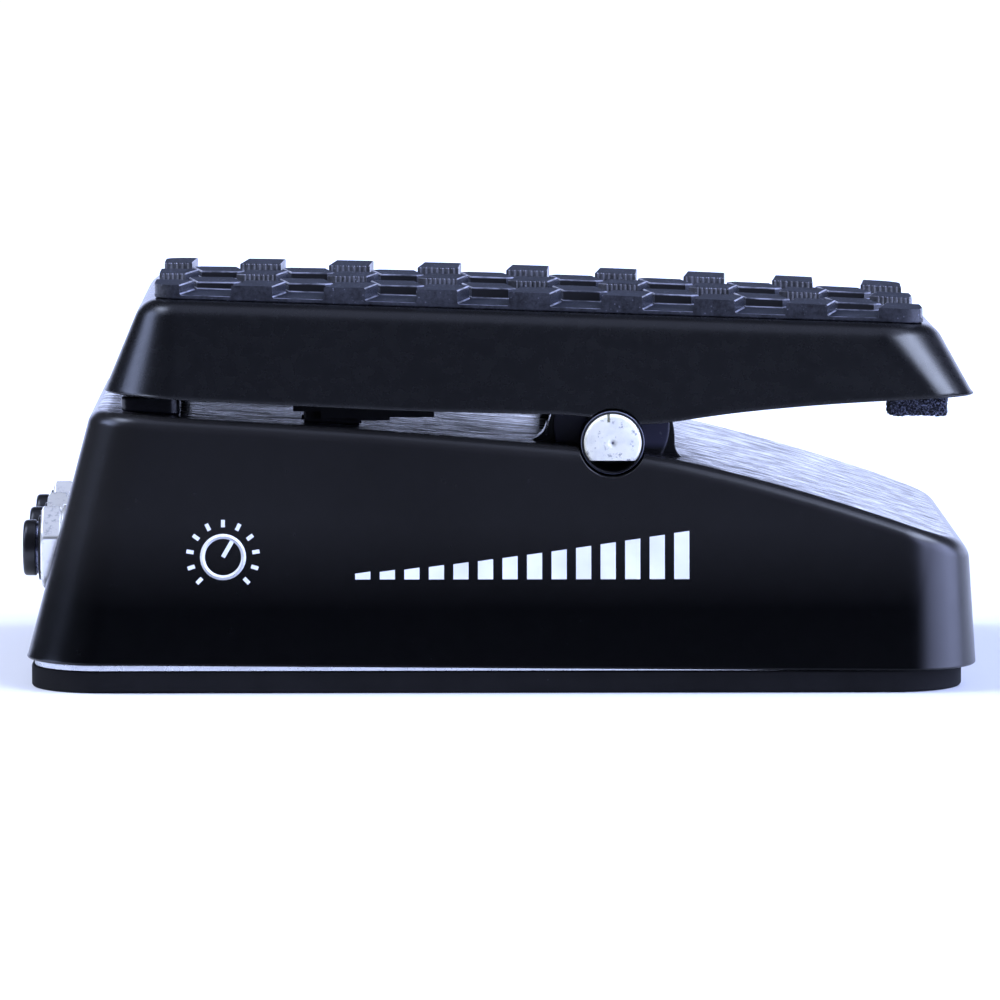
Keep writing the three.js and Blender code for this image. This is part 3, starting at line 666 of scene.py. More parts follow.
# ------------------------------------------------------------------ metals
def machined(name, tone, rough, strength=0.3, metal=1.0):
    """Metal with fine tool lines along Y."""
    shader = Shader(name)
    lines = shader.noise(1.0, rough=0.6, stretch=(1500, 150, 1500))
    blotches = shader.noise(260, rough=0.6)
    colour = shader.mix(shader.fade(blotches, 0.3, 0.7), scaled(tone, 0.82), tone)
    normal = shader.bump(lines, strength=strength, distance=0.00002,
                         normal=shader.bevel(0.00012))
    return shader.set(base=colour, metal=metal, normal=normal,
                      rough=shader.linear(lines, gain=0.18, offset=rough - 0.06))


def chrome_material():
    """Bright plating with a lightly pitted, speckled skin."""
    shader = Shader("chrome")
    pits = shader.noise(1300, detail=4.0, rough=0.7)
    blotches = shader.noise(420, rough=0.6)
    speckle = shader.mul(shader.fade(pits, 0.50, 0.62), shader.fade(blotches, 0.45, 0.62))
    normal = shader.bump(pits, strength=0.25, distance=0.00002, normal=shader.bevel(0.0001))
    return shader.set(base=shader.mix(speckle, (0.97, 0.97, 0.96), (0.45, 0.49, 0.54)),
                      rough=0.16, metal=0.6, normal=normal)


def shaft_material():
    """A turned bar end: broken arcs round the axis, mottled and bright."""
    shader = Shader("pivot_shaft_steel")
    centred = shader.node("Mapping", {
        "Location": (-PIVOT_X * MM, 0, -PIVOT_Z * MM), "Vector": shader.coords},
        vector_type="POINT").outputs[0]
    x, _, z = shader.split(centred)
    radius = shader.math("SQRT", shader.add(shader.mul(x, x), shader.mul(z, z)))
    angle = shader.math("ARCTAN2", z, x)
    polar = shader.node("CombineXYZ", {0: shader.mul(radius, 4200), 1: shader.mul(angle, 2.2)})
    arcs = shader.noise(1.0, vector=polar.outputs[0])
    pits = shader.noise(900, detail=5.0, rough=0.7)
    blotches = shader.noise(330, detail=4.0, rough=0.6)
    colour = shader.mix(shader.fade(pits, 0.33, 0.42), (0.30, 0.31, 0.33), (1.0, 0.99, 0.86))
    colour = shader.mix(shader.fade(blotches, 0.42, 0.60, high=0.5), colour, (0.78, 0.79, 0.74))
    # a dark spot at the centre; stops are radii in millimetres
    spot = shader.ramp(shader.mul(radius, 1000.0), [(0.12, 1.0), (0.30, 0.45), (0.75, 0.0)])
    colour = shader.mix(spot, colour, (0.10, 0.10, 0.13))
    height = shader.add(shader.mul(arcs, 0.8), shader.mul(pits, 0.8))
    normal = shader.bump(height, strength=0.7, distance=0.00006, normal=shader.bevel(0.00015))
    return shader.set(base=colour, metal=0.35, normal=normal,
                      rough=shader.linear(arcs, gain=0.2, offset=0.40))


# ------------------------------------------------------------------ plastics and board
def plastic(name, tone, rough, bevel=0.00015):
    shader = Shader(name)
    fine = shader.noise(1800)
    blotches = shader.noise(160)
    colour = shader.mix(blotches, scaled(tone, 0.8), scaled(tone, 1.25))
    normal = shader.bump(fine, strength=0.25, distance=0.00001, normal=shader.bevel(bevel))
    return shader.set(base=colour, normal=normal, spec=0.5,
                      rough=shader.linear(blotches, gain=0.12, offset=rough - 0.06))


def board_material():
    """Green circuit board with a brick-like pattern of tracks."""
    shader = Shader("board")
    tracks = shader.node("TexBrick", {
        "Scale": 160, "Mortar Size": 0.08, "Vector": shader.coords}).outputs["Fac"]
    return shader.set(base=shader.mix(tracks, (0.012, 0.085, 0.035), (0.02, 0.14, 0.06)),
                      rough=0.35, normal=shader.bump(tracks, strength=0.4, distance=0.00003))


BASE_PAINT = base_paint()
TREADLE_PAINT = treadle_paint()
TREAD = tread_rubber_material()
# a darker copy of the tread rubber: painted shade on the near faces of the half-pitch rows
TREAD_PAINTED_SHADE = rubber("tread_rubber_painted_shade", (0.0035, 0.0036, 0.0045), rough=0.6, dust=0.25)
TREAD_EDGE = tread_edge_material()
TREAD_END = rubber("tread_rubber_end", (0.016, 0.018, 0.025), rough=0.24, dust=0.4)
PAD_RUBBER = rubber("pad_rubber", (0.0050, 0.0050, 0.0055), rough=0.74, dust=0.9, spec=0.12)
BUMPER_RUBBER = rubber("bumper_rubber", (0.0045, 0.0045, 0.007), rough=0.20, dust=0.1)
FOAM = foam_material()
STEEL = machined("steel", (0.74, 0.76, 0.80), rough=0.26)
SCREW_STEEL = machined("screw_steel", (0.52, 0.53, 0.56), rough=0.32, strength=0.15)
CHROME = chrome_material()
JACK_WAIST = machined("jack_waist", (0.36, 0.38, 0.50), rough=0.25, strength=0.1)
JACK_PLASTIC = plastic("jack_plastic", (0.009, 0.009, 0.011), rough=0.30)
NYLON = plastic("nylon", (0.003, 0.003, 0.004), rough=0.42, bevel=0.0001)
NYLON_RIM = plastic("nylon_rim", (0.13, 0.14, 0.19), rough=0.35, bevel=0.0)
ALUMINIUM = machined("aluminium", (0.60, 0.61, 0.65), rough=0.36)
SECTOR_BLACK = machined("sector_black", (0.012, 0.012, 0.014), rough=0.45, metal=0.0,
                        strength=0.1)
BRASS = machined("brass", (0.74, 0.56, 0.25), rough=0.26)
SHAFT_STEEL = shaft_material()
WHITE_PRINT = plastic("white_print", (0.78, 0.80, 0.86), rough=0.45, bevel=0.0)
BOARD = board_material()
CABLE = plastic("cable", (0.30, 0.02, 0.02), rough=0.4, bevel=0.0)

# ------------------------------------------------------------------ base housing
PLATE_OUTLINE = base_outline(PLATE_LEVEL)
PIVOT = (PIVOT_X, 0, PIVOT_Z)
JACK_YS = [-JACK_PITCH, 0.0, JACK_PITCH]

# The ears: two upright lugs that carry the pivot, each with a round boss outside
EAR_X0, EAR_X1 = 7.6, 28.9
EAR_FOOT = 3.2                          # radius where the ear runs out into the top
EAR_INNER, EAR_WEB, EAR_FACE = 32, 36.2, 37.6
BOSS_R, BOSS_RISE = 9.65, 2.2           # the boss is centred this far above the pivot

PANEL_X, PANEL_Y, PANEL_CORNER = -72.6, 33, 1.5     # recess in the toe end round the jacks
SMALL_BOSSES = [(-41.3, -1.5), (-31.7, -1.5)]       # x, y under the top


def ear_profile(steps=10):
    """The ear seen from the side: x, z."""
    x0, x1, foot = EAR_X0, EAR_X1, EAR_FOOT
    middle, radius = (x0 + x1) / 2, (x1 - x0) / 2
    toe_z, heel_z = base_top(x0 - foot) - 0.15, base_top(x1 + foot) - 0.35
    points = [(x0 - 6, 37.6)]
    for k in range(steps + 1):
        a = HALF_PI * k / steps
        points.append((x0 - foot + foot * math.sin(a), toe_z + foot - foot * math.cos(a)))
    for k in range(4 * steps + 1):
        a = math.pi * (1 - k / (4 * steps))
        points.append((middle + radius * math.cos(a), PIVOT_Z + radius * math.sin(a)))
    for k in range(steps, -1, -1):
        a = HALF_PI * k / steps
        points.append((x1 + foot - foot * math.sin(a), heel_z + foot - foot * math.cos(a)))
    points.append((x1 + 6, 33.5))
    return points


def add_ears(housing):
    for _, side in SIDES:
        y0, y1 = span(side, EAR_INNER, EAR_WEB)
        profile = ear_profile()
        add(housing, prism([(x, y0, z) for x, z in profile], [(x, y1, z) for x, z in profile]))
        # round boss on the outer face, its rim slightly rolled
        root = side * (EAR_WEB - 0.5)
        rim = [(BOSS_R - inset, side * (EAR_FACE - drop))
               for inset, drop in ((0, 0.3), (0.05, 0.12), (0.18, 0.03), (0.35, 0))]
        add(housing, lathe([(0, root), (BOSS_R, root)] + rim + [(0, side * EAR_FACE)],
                           (PIVOT_X, 0, PIVOT_Z + BOSS_RISE), "Y", 128))


def base_housing():
    outer = casting(stations(18, 70), base_outline, base_depth, base_top, base_rim,
                    fillet=BASE_FILLET, fillet_steps=10, lip=0.45)
    inner = cavity(stations(8, 40), base_outline, base_depth, base_top, lambda x: -2,
                   wall=BASE_WALL, roof=BASE_WALL)
    # keep the toe wall thick where the jacks pass through
    cut(inner, box(-90, -69.6, -36, 36, 10.5, 34))
    rebate = rounded_slab(shrink(PLATE_OUTLINE, 1.05), -3, 4.75, 0.01, 0.01, 12)
    housing = duplicate(outer)
    cut(housing, inner, rebate)
    for x, y in PLATE_SCREWS:
        post = cylinder("Z", (x, y, 0), 4.2, 4.75, base_top(x) - 1.5, 48)
        clip(post, outer, keep_tool=True)
        add(housing, post)
    for x, y in PLATE_SCREWS:
        cut(housing, cylinder("Z", (x, y, 0), 1.5, 0, 14.5, 24))
    add_ears(housing)
    # opening across the top between the ears
    cut(housing, box(10.8, 25.9, -31.3, 31.3, 30, 50))
    for _, side in SIDES:
        cut(housing, cylinder("Y", PIVOT, BUSH_OUT + 0.05, *span(side, 31, 39)))
        cut(housing, cylinder("Y", PIVOT, NOTCH_R, *span(side, EAR_FACE, 60)))
    # slot in the near toe-side part of the top, wider below the skin
    cut(housing, box(-33.3, -23.2, -33, -23, 40.7, 50), box(-35.4, -21.6, -33, -23, 34, 40.8))
    corner_x, corner_y = PANEL_X - PANEL_CORNER, PANEL_Y - PANEL_CORNER
    panel = [(-95, -PANEL_Y), (-95, PANEL_Y), (corner_x, PANEL_Y),
             (PANEL_X, corner_y), (PANEL_X, -corner_y), (corner_x, -PANEL_Y)]
    cut(housing, prism([(x, y, 13.2) for x, y in panel], [(x, y, 40) for x, y in panel]))
    for y in JACK_YS:
        cut(housing, cylinder("X", (0, y, JACK_Z), 4.95, -90, -60, 64))
    for x, y in SMALL_BOSSES:
        add(housing, cylinder("Z", (x, y, 0), 3.2, 40.5, base_top(x) - 1.2, 32))
        cut(housing, cylinder("Z", (x, y, 0), 1.35, 38, 42.6, 20))
    bpy.data.objects.remove(outer)
    finish_piece(housing, "base_housing_cast", "base", BASE_PAINT,
                 ["base_housing"], 30)


base_housing()

# ------------------------------------------------------------------ treadle shell
# Solid lumps inside the corners: x range, distances from the centre plane, z range
CORNER_LUMPS = [((-62.8, -53.6), (30.5, 43), (48.65, 62)),
                ((63.9, 75.0), (28, 42), (48.5, 60))]


def treadle_shell():
    outer = casting(stations(18, 76), treadle_outline, treadle_depth, treadle_top, treadle_rim,
                    fillet=TREADLE_FILLET, fillet_steps=12, lip=0.3)
    inner = cavity(stations(8, 60), treadle_outline, treadle_depth, treadle_top,
                   lambda x: treadle_rim(x) - 4, wall=TREADLE_WALL, roof=TREADLE_ROOF)
    shell = duplicate(outer)
    cut(shell, inner)
    for _, side in SIDES:
        for x_range, y_range, z_range in CORNER_LUMPS:
            lump = box(*x_range, *span(side, *y_range), *z_range)
            clip(lump, outer, keep_tool=True)
            add(shell, lump)
        # block that grips the shaft
        add(shell, box(12.6, 24.1, *span(side, 20, 29), 42.0, 61))
    # pad under the roof with two blind holes
    add(shell, box(-35, -10.2, -36, -20, 59, 61.8))
    for _, side in SIDES:
        cut(shell, cylinder("Y", PIVOT, NOTCH_R, *span(side, 39, 60)))
        cut(shell, cylinder("Y", PIVOT, SHAFT_R + 0.03, *span(side, 19, 31)))
        cut(shell, cylinder("Z", (PIVOT_X, side * SHAFT_SCREW_Y, 0), SHAFT_SCREW_R, 40, 54, 24))
    for x in (-21, -14.2):
        cut(shell, cylinder("Z", (x, -28, 0), 1.4, 55, 61.2, 20))
    bpy.data.objects.remove(outer)
    finish_piece(shell, "treadle_cast", "treadle", TREADLE_PAINT,
                 ["treadle_shell"], 30)


treadle_shell()

# ------------------------------------------------------------------ rubber tread
TREAD_OUTLINE = Outline(-57.7, 70.6, 33.3, 3.5, 3.5)
TREAD_MID = (TREAD_OUTLINE.toe_x + TREAD_OUTLINE.heel_x) / 2
TREAD_HALF = (TREAD_OUTLINE.heel_x - TREAD_OUTLINE.toe_x) / 2
SHEET, SHEET_GAP = 0.85, 0.05           # sheet top and underside above the treadle
BLOCK_PITCH = 15.4
BLOCK_XS = [-55.7 + BLOCK_PITCH * i for i in range(9)]
BLOCK_HALF = 3.4                        # half the length of a block along X
BLOCK_SKEW = 0.95                       # sideways shift of a block's ends along X
BLOCK_CHAMFER = 1.35
BLOCK_LEAN = 0.42
ROW_Y, ROW_EDGE = 26.0, 35              # outer rows: centre, and edge before trimming


def block_top(x):
    """The block tops are crowned along the length of the tread."""
    return treadle_top(x) + 2.35 + 0.75 * (1 - ((x - TREAD_MID) / TREAD_HALF) ** 2)


def tread_ring(path, inset, rise):
    ring = []
    for station in path:
        x, y = inward(at(station, TREAD_OUTLINE), inset)
        ring.append((x, y, treadle_top(x) + rise))
    return ring


def add_block(verts, faces, outline, lean=0.0, foot=0.22, edge=0.2, drop=0.0):
    """A block on a counter-clockwise plan outline: a small fillet at the foot, near and
    far faces that lean inwards, and a rolled top edge."""
    n = len(outline)
    points = np.array(outline, float)
    ahead, behind = np.roll(points, -1, 0) - points, points - np.roll(points, 1, 0)

    def lengths(vectors):
        return np.maximum(np.linalg.norm(vectors, axis=1), 1e-9)[:, None]

    def edge_normals(edges):
        return np.stack([edges[:, 1], -edges[:, 0]], 1) / lengths(edges)
    normals = edge_normals(behind) + edge_normals(ahead)
    normals /= lengths(normals)
    start = len(verts)
    # inset, rise, share of the lean; a full lean is measured from the block top
    levels = [(-foot, SHEET - 0.4, 0), (-foot, SHEET + 0.01, 0),
              (-foot * 0.3, SHEET + foot * 0.3, 0.05), (0.0, SHEET + foot, 0.2),
              (0.0, -edge, 1.0), (edge * 0.3, -edge * 0.32, 1.0), (edge, 0.0, 1.0)]
    for inset, rise, share in levels:
        for (x, y), (normal_x, normal_y) in zip(outline, normals):
            facing = 1 if normal_y > 0.35 else -1 if normal_y < -0.35 else 0
            x = x - normal_x * inset
            y = y - normal_y * inset - lean * share * facing
            surface = treadle_top(x) if share < 1.0 else block_top(x) - drop
            verts.append((x, y, surface + rise))
    for k in range(len(levels) - 1):
        lower, upper = start + k * n, start + (k + 1) * n
        for i in range(n):
            j = (i + 1) % n
            faces.append((lower + i, lower + j, upper + j, upper + i))
    faces.append(tuple(start + i for i in reversed(range(n))))
    faces.append(tuple(start + (len(levels) - 1) * n + i for i in range(n)))


def ribbed(p, q, ribs=7, depth=0.16):
    """Points from p towards q, q left out, with fine upright ribs."""
    dx, dy = q[0] - p[0], q[1] - p[1]
    length = math.hypot(dx, dy)
    normal_x, normal_y = dy / length, -dx / length
    points = [p]
    for k in range(ribs):
        for t, out in ((0.10, 0.0), (0.30, -depth * 0.75), (0.5, -depth),
                       (0.70, -depth * 0.75), (0.90, 0.0)):
            u = (k + t) / ribs
            points.append((p[0] + dx * u + normal_x * out, p[1] + dy * u + normal_y * out))
    return points


def skewed_ends(x, y, half_depth, y0, y1):
    """X of the toe and heel corners at y0, then at y1."""
    near = BLOCK_SKEW * (y0 - y) / half_depth
    far = BLOCK_SKEW * (y1 - y) / half_depth
    return x - BLOCK_HALF + near, x + BLOCK_HALF + near, x - BLOCK_HALF + far, x + BLOCK_HALF + far


def ribbed_far_face(toe, heel, y):
    c = BLOCK_CHAMFER
    return [(heel, y - c)] + ribbed((heel - c, y), (toe, y)) + [(toe, y)]


def near_row_block(x):
    y0, y1 = -ROW_EDGE, -ROW_Y + 6.0
    near_toe, near_heel, far_toe, far_heel = skewed_ends(x, -ROW_Y, 6.0, y0, y1)
    return [(near_toe, y0), (near_heel, y0)] + ribbed_far_face(far_toe, far_heel, y1)


def middle_row_block(x):
    y0, y1 = -6.1, 6.1
    near_toe, near_heel, far_toe, far_heel = skewed_ends(x, 0.0, 6.1, y0, y1)
    return (ribbed((near_toe + BLOCK_CHAMFER, y0), (near_heel, y0)) + [(near_heel, y0)]
            + ribbed_far_face(far_toe, far_heel, y1)
            + [(near_toe + 0.05, y0 + BLOCK_CHAMFER)])


def far_row_block(x):
    y0, y1 = ROW_Y - 6.0, ROW_EDGE
    near_toe, near_heel, _, _ = skewed_ends(x, ROW_Y, 6.0, y0, y1)
    near_heel += 0.35
    return (ribbed((near_toe + 0.4, y0), (near_heel, y0))
            + [(near_heel, y0), (near_heel + 0.7, y1), (near_toe + 1.35, y1),
               (near_toe + 0.05, y0 + 0.5)])


def between_block(x, y):
    """A lower block in the two rows set half a pitch along."""
    y0, y1 = y - 5.9, y + 5.9
    near_toe, near_heel = x - BLOCK_HALF + BLOCK_SKEW - 0.45, x + BLOCK_HALF + BLOCK_SKEW + 0.25
    far_toe, far_heel = x - BLOCK_HALF - BLOCK_SKEW - 0.25, x + BLOCK_HALF - BLOCK_SKEW + 0.45
    c = BLOCK_CHAMFER
    return [(near_toe, y0), (near_heel - c, y0), (near_heel, y0 + c * 1.3),
            (far_heel, y1), (far_toe + c, y1), (far_toe, y1 - c * 1.3)]


def tread_mesh():
    path = stations(14, 40)
    # inset and rise of each ring of the sheet
    levels = [(0.35, SHEET_GAP), (0.08, SHEET_GAP + 0.06), (0, SHEET_GAP + 0.22),
              (0, SHEET - 0.14), (0.04, SHEET - 0.04), (0.15, SHEET), (0.6, SHEET)]
    sheet = loft([tread_ring(path, inset, rise) for inset, rise in levels])
    trimmer = loft([tread_ring(path, 0, -6), tread_ring(path, 0, 9)])
    verts, faces = [], []
    for x in BLOCK_XS:
        add_block(verts, faces, near_row_block(x))
        add_block(verts, faces, middle_row_block(x), BLOCK_LEAN)
        add_block(verts, faces, far_row_block(x), BLOCK_LEAN)
    for x in BLOCK_XS[:-1]:
        for y in (-13.0, 13.0):
            add_block(verts, faces, between_block(x + BLOCK_PITCH / 2, y),
                      foot=0.2, edge=0.24, drop=0.45)
    blocks = make(verts, faces)
    clip(blocks, trimmer)
    add(sheet, blocks)
    return sheet


def tread():
    piece = finish_piece(tread_mesh(), "tread_rubber_moulded", "treadle", TREAD,
                         ["tread_rubber"], 26)
    # slots 1 to 3: near faces with painted shade, rolled edges with a painted highlight, smooth
    # faces towards either end
    for material in (TREAD_PAINTED_SHADE, TREAD_EDGE, TREAD_END):
        piece.data.materials.append(material)
    for face in piece.data.polygons:
        nx, ny, nz = face.normal
        y = face.center.y / MM
        rise = face.center.z / MM - treadle_top(face.center.x / MM)
        # near faces of the half-pitch rows
        between_near = -20.0 < y < -17.6 or 6.0 < y < 8.2
        # slot 1 paints shade on these near faces
        if ny < -0.75 and abs(nx) < 0.35 and nz < 0.3 and between_near:
            face.material_index = 1
        # slot 2 paints a highlight on the rolled edges
        elif 0.3 < nz < 0.92 and face.area < 12e-6:
            near_edge = ny < -0.3 and (between_near or (y < -32.9 and rise <= 1.4))
            if near_edge or (abs(nx) > 0.35 and abs(y) < 33):
                face.material_index = 2
        elif abs(nx) > 0.75 and nz < 0.3 and rise > 0.9:
            face.material_index = 3


tread()


# ------------------------------------------------------------------ bottom plate, rubber pad
def drilled_slab(slab, hole_r, z0, segments):
    for x, y in PLATE_SCREWS:
        cut(slab, cylinder("Z", (x, y, 0), hole_r, z0, 6, segments))
    return slab


plate = rounded_slab(shrink(PLATE_OUTLINE, 1.35), 3.7, 4.7, 0.12, 0.12, 18)
finish_piece(drilled_slab(plate, 1.75, 2, 32), "bottom_plate_sheet", "base", STEEL,
             ["bottom_plate"])
pad = rounded_slab(Outline(-78.2, 76.8, 48.3, 12, 12), 0, 3.65, 0.5, 0.35, 18)
finish_piece(drilled_slab(pad, 4.6, -1, 48), "bottom_pad_rubber", "base",
             PAD_RUBBER, ["bottom_rubber_pad"])


# ------------------------------------------------------------------ pivot shaft and bushings
def pivot_shaft():
    r, end = SHAFT_R, SHAFT_END
    # near end, from a shallow centre dimple out to the chamfer: radius, y
    near_end = [(0, -end + 0.35), (0.35, -end + 0.28), (0.75, -end + 0.02), (0.9, -end),
                (r - 0.45, -end), (r - 0.3, -end + 0.05), (r - 0.05, -end + 0.35),
                (r, -end + 0.5)]
    bar = [(r, -end + 4 + i * (2 * end - 8) / 6) for i in range(7)]
    far_end = [(radius, -y) for radius, y in reversed(near_end)]
    shaft = lathe(near_end + bar + far_end, PIVOT, "Y", 128)
    cut(shaft, box(PIVOT_X - 6, PIVOT_X + 6, -60, 60, PIVOT_Z - 8, PIVOT_Z - SHAFT_FLAT))
    for y in (-SHAFT_SCREW_Y, SHAFT_SCREW_Y):
        cut(shaft, cylinder("Z", (PIVOT_X, y, 0), SHAFT_SCREW_R, 30, 50, 24))
    # narrow notch at the top of each end
    for _, side in SIDES:
        cut(shaft, box(PIVOT_X - 0.92, PIVOT_X - 0.5, *span(side, end - 1.3, end + 1),
                       PIVOT_Z + 3.45, PIVOT_Z + 6))
    finish_piece(shaft, "pivot_shaft_bar", "treadle", SHAFT_STEEL, ["pivot_shaft"])


def bushing(name, side):
    # radius, distance from the centre plane
    ring = [(BUSH_IN, BUSH_START), (BUSH_OUT, BUSH_START), (BUSH_OUT, BUSH_END - 0.12),
            (BUSH_OUT - 0.04, BUSH_END - 0.03), (BUSH_OUT - 0.12, BUSH_END),
            (BUSH_IN + 0.12, BUSH_END), (BUSH_IN + 0.03, BUSH_END - 0.04),
            (BUSH_IN, BUSH_END - 0.15)]
    sleeve = lathe([(r, side * y) for r, y in ring], PIVOT, "Y", 128, closed=True)
    finish_piece(sleeve, "pivot_bushing_sleeve_" + name, "base", NYLON,
                 ["pivot_bushing_" + name], 50)
    # a paler outer rim on the end face
    sleeve.data.materials.append(NYLON_RIM)
    for face in sleeve.data.polygons:
        x, y, z = face.center / MM
        radius = math.hypot(x - PIVOT_X, z - PIVOT_Z)
        if abs(y) > BUSH_END - 0.15 and radius > BUSH_OUT - 0.13:
            face.material_index = 1


pivot_shaft()
for name, side in SIDES:
    bushing(name, side)


# ------------------------------------------------------------------ toe bumpers
def toe_bumper(name):
    """A rounded rubber block standing on the sloping top of the base."""
    lo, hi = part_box("toe_bumper_" + name)
    lo, hi = lo / MM, hi / MM
    outline = Outline(lo.x, hi.x, (hi.y - lo.y) / 2, 1.9, 1.9)
    path = stations(8, 8)
    rings = []
    # inset, whether measured from the block's top, rise
    for inset, from_top, rise in ((0.25, False, 0), (0, False, 0.3), (0, True, -0.5),
                                  (0.06, True, -0.22), (0.25, True, -0.05), (0.5, True, 0),
                                  (0.9, True, 0)):
        ring = []
        for station in path:
            x, y = inward(at(station, outline), inset)
            ring.append((x, y, (hi.z if from_top else base_top(x) + 0.03) + rise))
        rings.append(ring)
    block = loft(rings)
    centre_y = (hi.y + lo.y) / 2
    for vertex in block.data.vertices:
        vertex.co.y += centre_y * MM
    finish_piece(block, "toe_bumper_rubber_" + name, "base", BUMPER_RUBBER,
                 ["toe_bumper_" + name])


for name, _ in SIDES:
    toe_bumper(name)


# ------------------------------------------------------------------ heel foam pads
def foam_block(lo, hi):
    block = box(lo.x / MM + 0.15, hi.x / MM - 0.15, lo.y / MM + 0.15, hi.y / MM - 0.15,
                lo.z / MM + 0.25, hi.z / MM)
    remesh = block.modifiers.new("remesh", "REMESH")
    remesh.mode = "VOXEL"
    remesh.voxel_size = 0.00020
    bake(block)
    return block


def heel_foam(name):
    """A ragged open-cell block; sizes here are in metres."""
    node = "heel_foam_pad_" + name
    lo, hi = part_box(node)
    random.seed(7)  # fixes any random draws that follow
    block = foam_block(lo, hi)
    centre = (lo + hi) / 2
    for vertex in block.data.vertices:
        p = vertex.co
        # place in the block, -1 to 1 on each axis
        ux, uy, uz = [(p[i] - centre[i]) / ((hi[i] - lo[i]) / 2) for i in range(3)]
        # draw in the upright edges, more so at the bottom
        bottom = max(0.0, -uz) ** 2 * (abs(ux) ** 6 + abs(uy) ** 6)
        pull = 1 - 0.06 * (abs(ux * uy) ** 4 + bottom * 0.8)
        q = Vector((centre.x + (p.x - centre.x) * pull, centre.y + (p.y - centre.y) * pull, p.z))
        # roughen everything but the top face
        if hi.z - p.z >= 0.0002:
            cells = noise.noise(Vector((p.x, p.y, p.z)) * 1500)
            grain = noise.noise(Vector((p.x + 1, p.y, p.z)) * 3600)
            lumps = noise.noise(Vector((p.x, p.y + 2, p.z)) * 350)
            outward = Vector((ux ** 9, uy ** 9, uz ** 9))
            if outward.length > 1e-6:
                outward.normalize()
            q += outward * (0.00034 * cells + 0.00026 * grain + 0.00022 * lumps)
            if uz < -0.9:
                q.z += 0.0003 * abs(ux) ** 3 + 0.00018 * lumps
        for i in range(3):
            q[i] = min(max(q[i], lo[i]), hi[i])
        vertex.co = q
    finish_piece(block, "heel_foam_" + name, "treadle", FOAM, [node], 180, False)


for name, _ in SIDES:
    heel_foam(name)

# ------------------------------------------------------------------ jacks
SOCKET_R, SOCKET_BORE = 4.72, 3.3
NUT_R = 7.33                            # to the corners of the hexagon
# Name and the turn of the nut in degrees, from the near jack to the far one
JACKS = [("input", 40.5), ("output", 32), ("tuner", 40)]

# Outside of the socket tube, from its rolled mouth inwards: radius, x
SOCKET_OUTSIDE = [
    (3.45, -79.95), (3.7, -80.17), (3.9, -80.2), (4.2, -80.17), (4.5, -80.02), (4.66, -79.78),
    (SOCKET_R, -79.4), (SOCKET_R, -78.2), (SOCKET_R - 0.06, -78.08), (SOCKET_R - 0.16, -78.02),
    # narrow waist
    (4.42, -77.98), (4.36, -77.9), (4.34, -77.8), (4.36, -77.72), (4.5, -77.64),
    # collar
    (5.3, -77.6), (5.42, -77.55), (5.45, -77.45), (5.42, -77.3), (5.3, -77.22),
    (SOCKET_R, -77.2)]
THREAD_START, THREAD_PITCH, THREAD_TURNS = -77.0, 0.80, 10
NUT_X0, NUT_X1 = -77.15, -73.65
# Radius, x
NUT_CHAMFER = [(0, NUT_X0), (6.35, NUT_X0), (6.9, -76.86), (7.4, -76.45),
               (7.4, -74.35), (6.9, -73.94), (6.35, NUT_X1), (0, NUT_X1)]
NUT_BORE = [(0, -80), (5.2, -80), (5.2, -77.2), (4.9, -76.9), (4.9, -70), (0, -70)]
WASHER = [(4.95, -72.7), (7.15, -72.7), (7.3, -72.8), (7.3, -73.45), (7.15, -73.55),
          (4.95, -73.55)]


def jack_socket(name, y):
    centre = (0, y, JACK_Z)
    outside = list(SOCKET_OUTSIDE)
    for turn in range(THREAD_TURNS):
        x = THREAD_START + THREAD_PITCH * turn
        outside += [(SOCKET_R - 0.30, x + 0.30), (SOCKET_R - 0.30, x + 0.42),
                    (SOCKET_R, x + 0.70), (SOCKET_R, x + THREAD_PITCH)]
    inside = [(SOCKET_BORE, -79.6), (SOCKET_BORE, -69.0), (0, -69.0)]
    jack = lathe([(0, -68.2)] + outside[::-1] + inside, centre, "X", 72)
    # closed body behind the panel
    body = box(-68.8, -47, y - 7.5, y + 7.5, JACK_Z - 8, JACK_Z + 8)
    bevel(body, 0.6, 3)
    add(jack, body)
    cut(jack, cylinder("X", centre, SOCKET_BORE, -75, -50, 72),
        box(-62, -50.2, y - 1.9, y + 1.9, JACK_Z, JACK_Z + 6.4))
    finish_piece(jack, name + "_jack_socket", "base", JACK_PLASTIC,
                 [name + "_jack"], 34)
    # the waist between the front ring and the collar is bare metal
    jack.data.materials.append(JACK_WAIST)
    for face in jack.data.polygons:
        x, face_y, z = face.center / MM
        if -78.0 < x < -77.66 and 4.2 < math.hypot(face_y - y, z - JACK_Z) < 4.6:
            face.material_index = 1


def jack_nut(name, y, turn):
    """A hexagon chamfered at both ends."""
    centre = (0, y, JACK_Z)
    angles = [math.radians(60 * k + turn) for k in range(6)]
    corners = [(y + NUT_R * math.cos(a), JACK_Z + NUT_R * math.sin(a)) for a in angles]
    nut = prism([(NUT_X0, *c) for c in corners], [(NUT_X1, *c) for c in corners])
    bevel(nut, 0.42, 4)
    clip(nut, lathe(NUT_CHAMFER, centre, "X", 96))
    cut(nut, lathe(NUT_BORE, centre, "X", 96))
    finish_piece(nut, name + "_jack_hex_nut", "base", CHROME, [name + "_jack_nut"], 34)


def jack_washer(name, y):
    finish_piece(lathe(WASHER, (0, y, JACK_Z), "X", 96, closed=True),
                 name + "_jack_flat_washer", "base", CHROME,
                 [name + "_jack_washer"], 40)


for (name, turn), y in zip(JACKS, JACK_YS):
    jack_socket(name, y)
    jack_nut(name, y, turn)
    jack_washer(name, y)

# ------------------------------------------------------------------ print on the near wall
PRINT_FILM = 0.035
DIAL_X, DIAL_Z = -46.0, 22.6
DIAL_RING = (3.0, 3.8)                  # inner and outer radius
BAR_COUNT, BAR_X, BAR_Z, BAR_PITCH, BAR_WIDTH = 14, -24.2, 18.9, 4.05, 2.5


def on_dial(angle, radius):
    return DIAL_X + radius * math.cos(angle), DIAL_Z + radius * math.sin(angle)


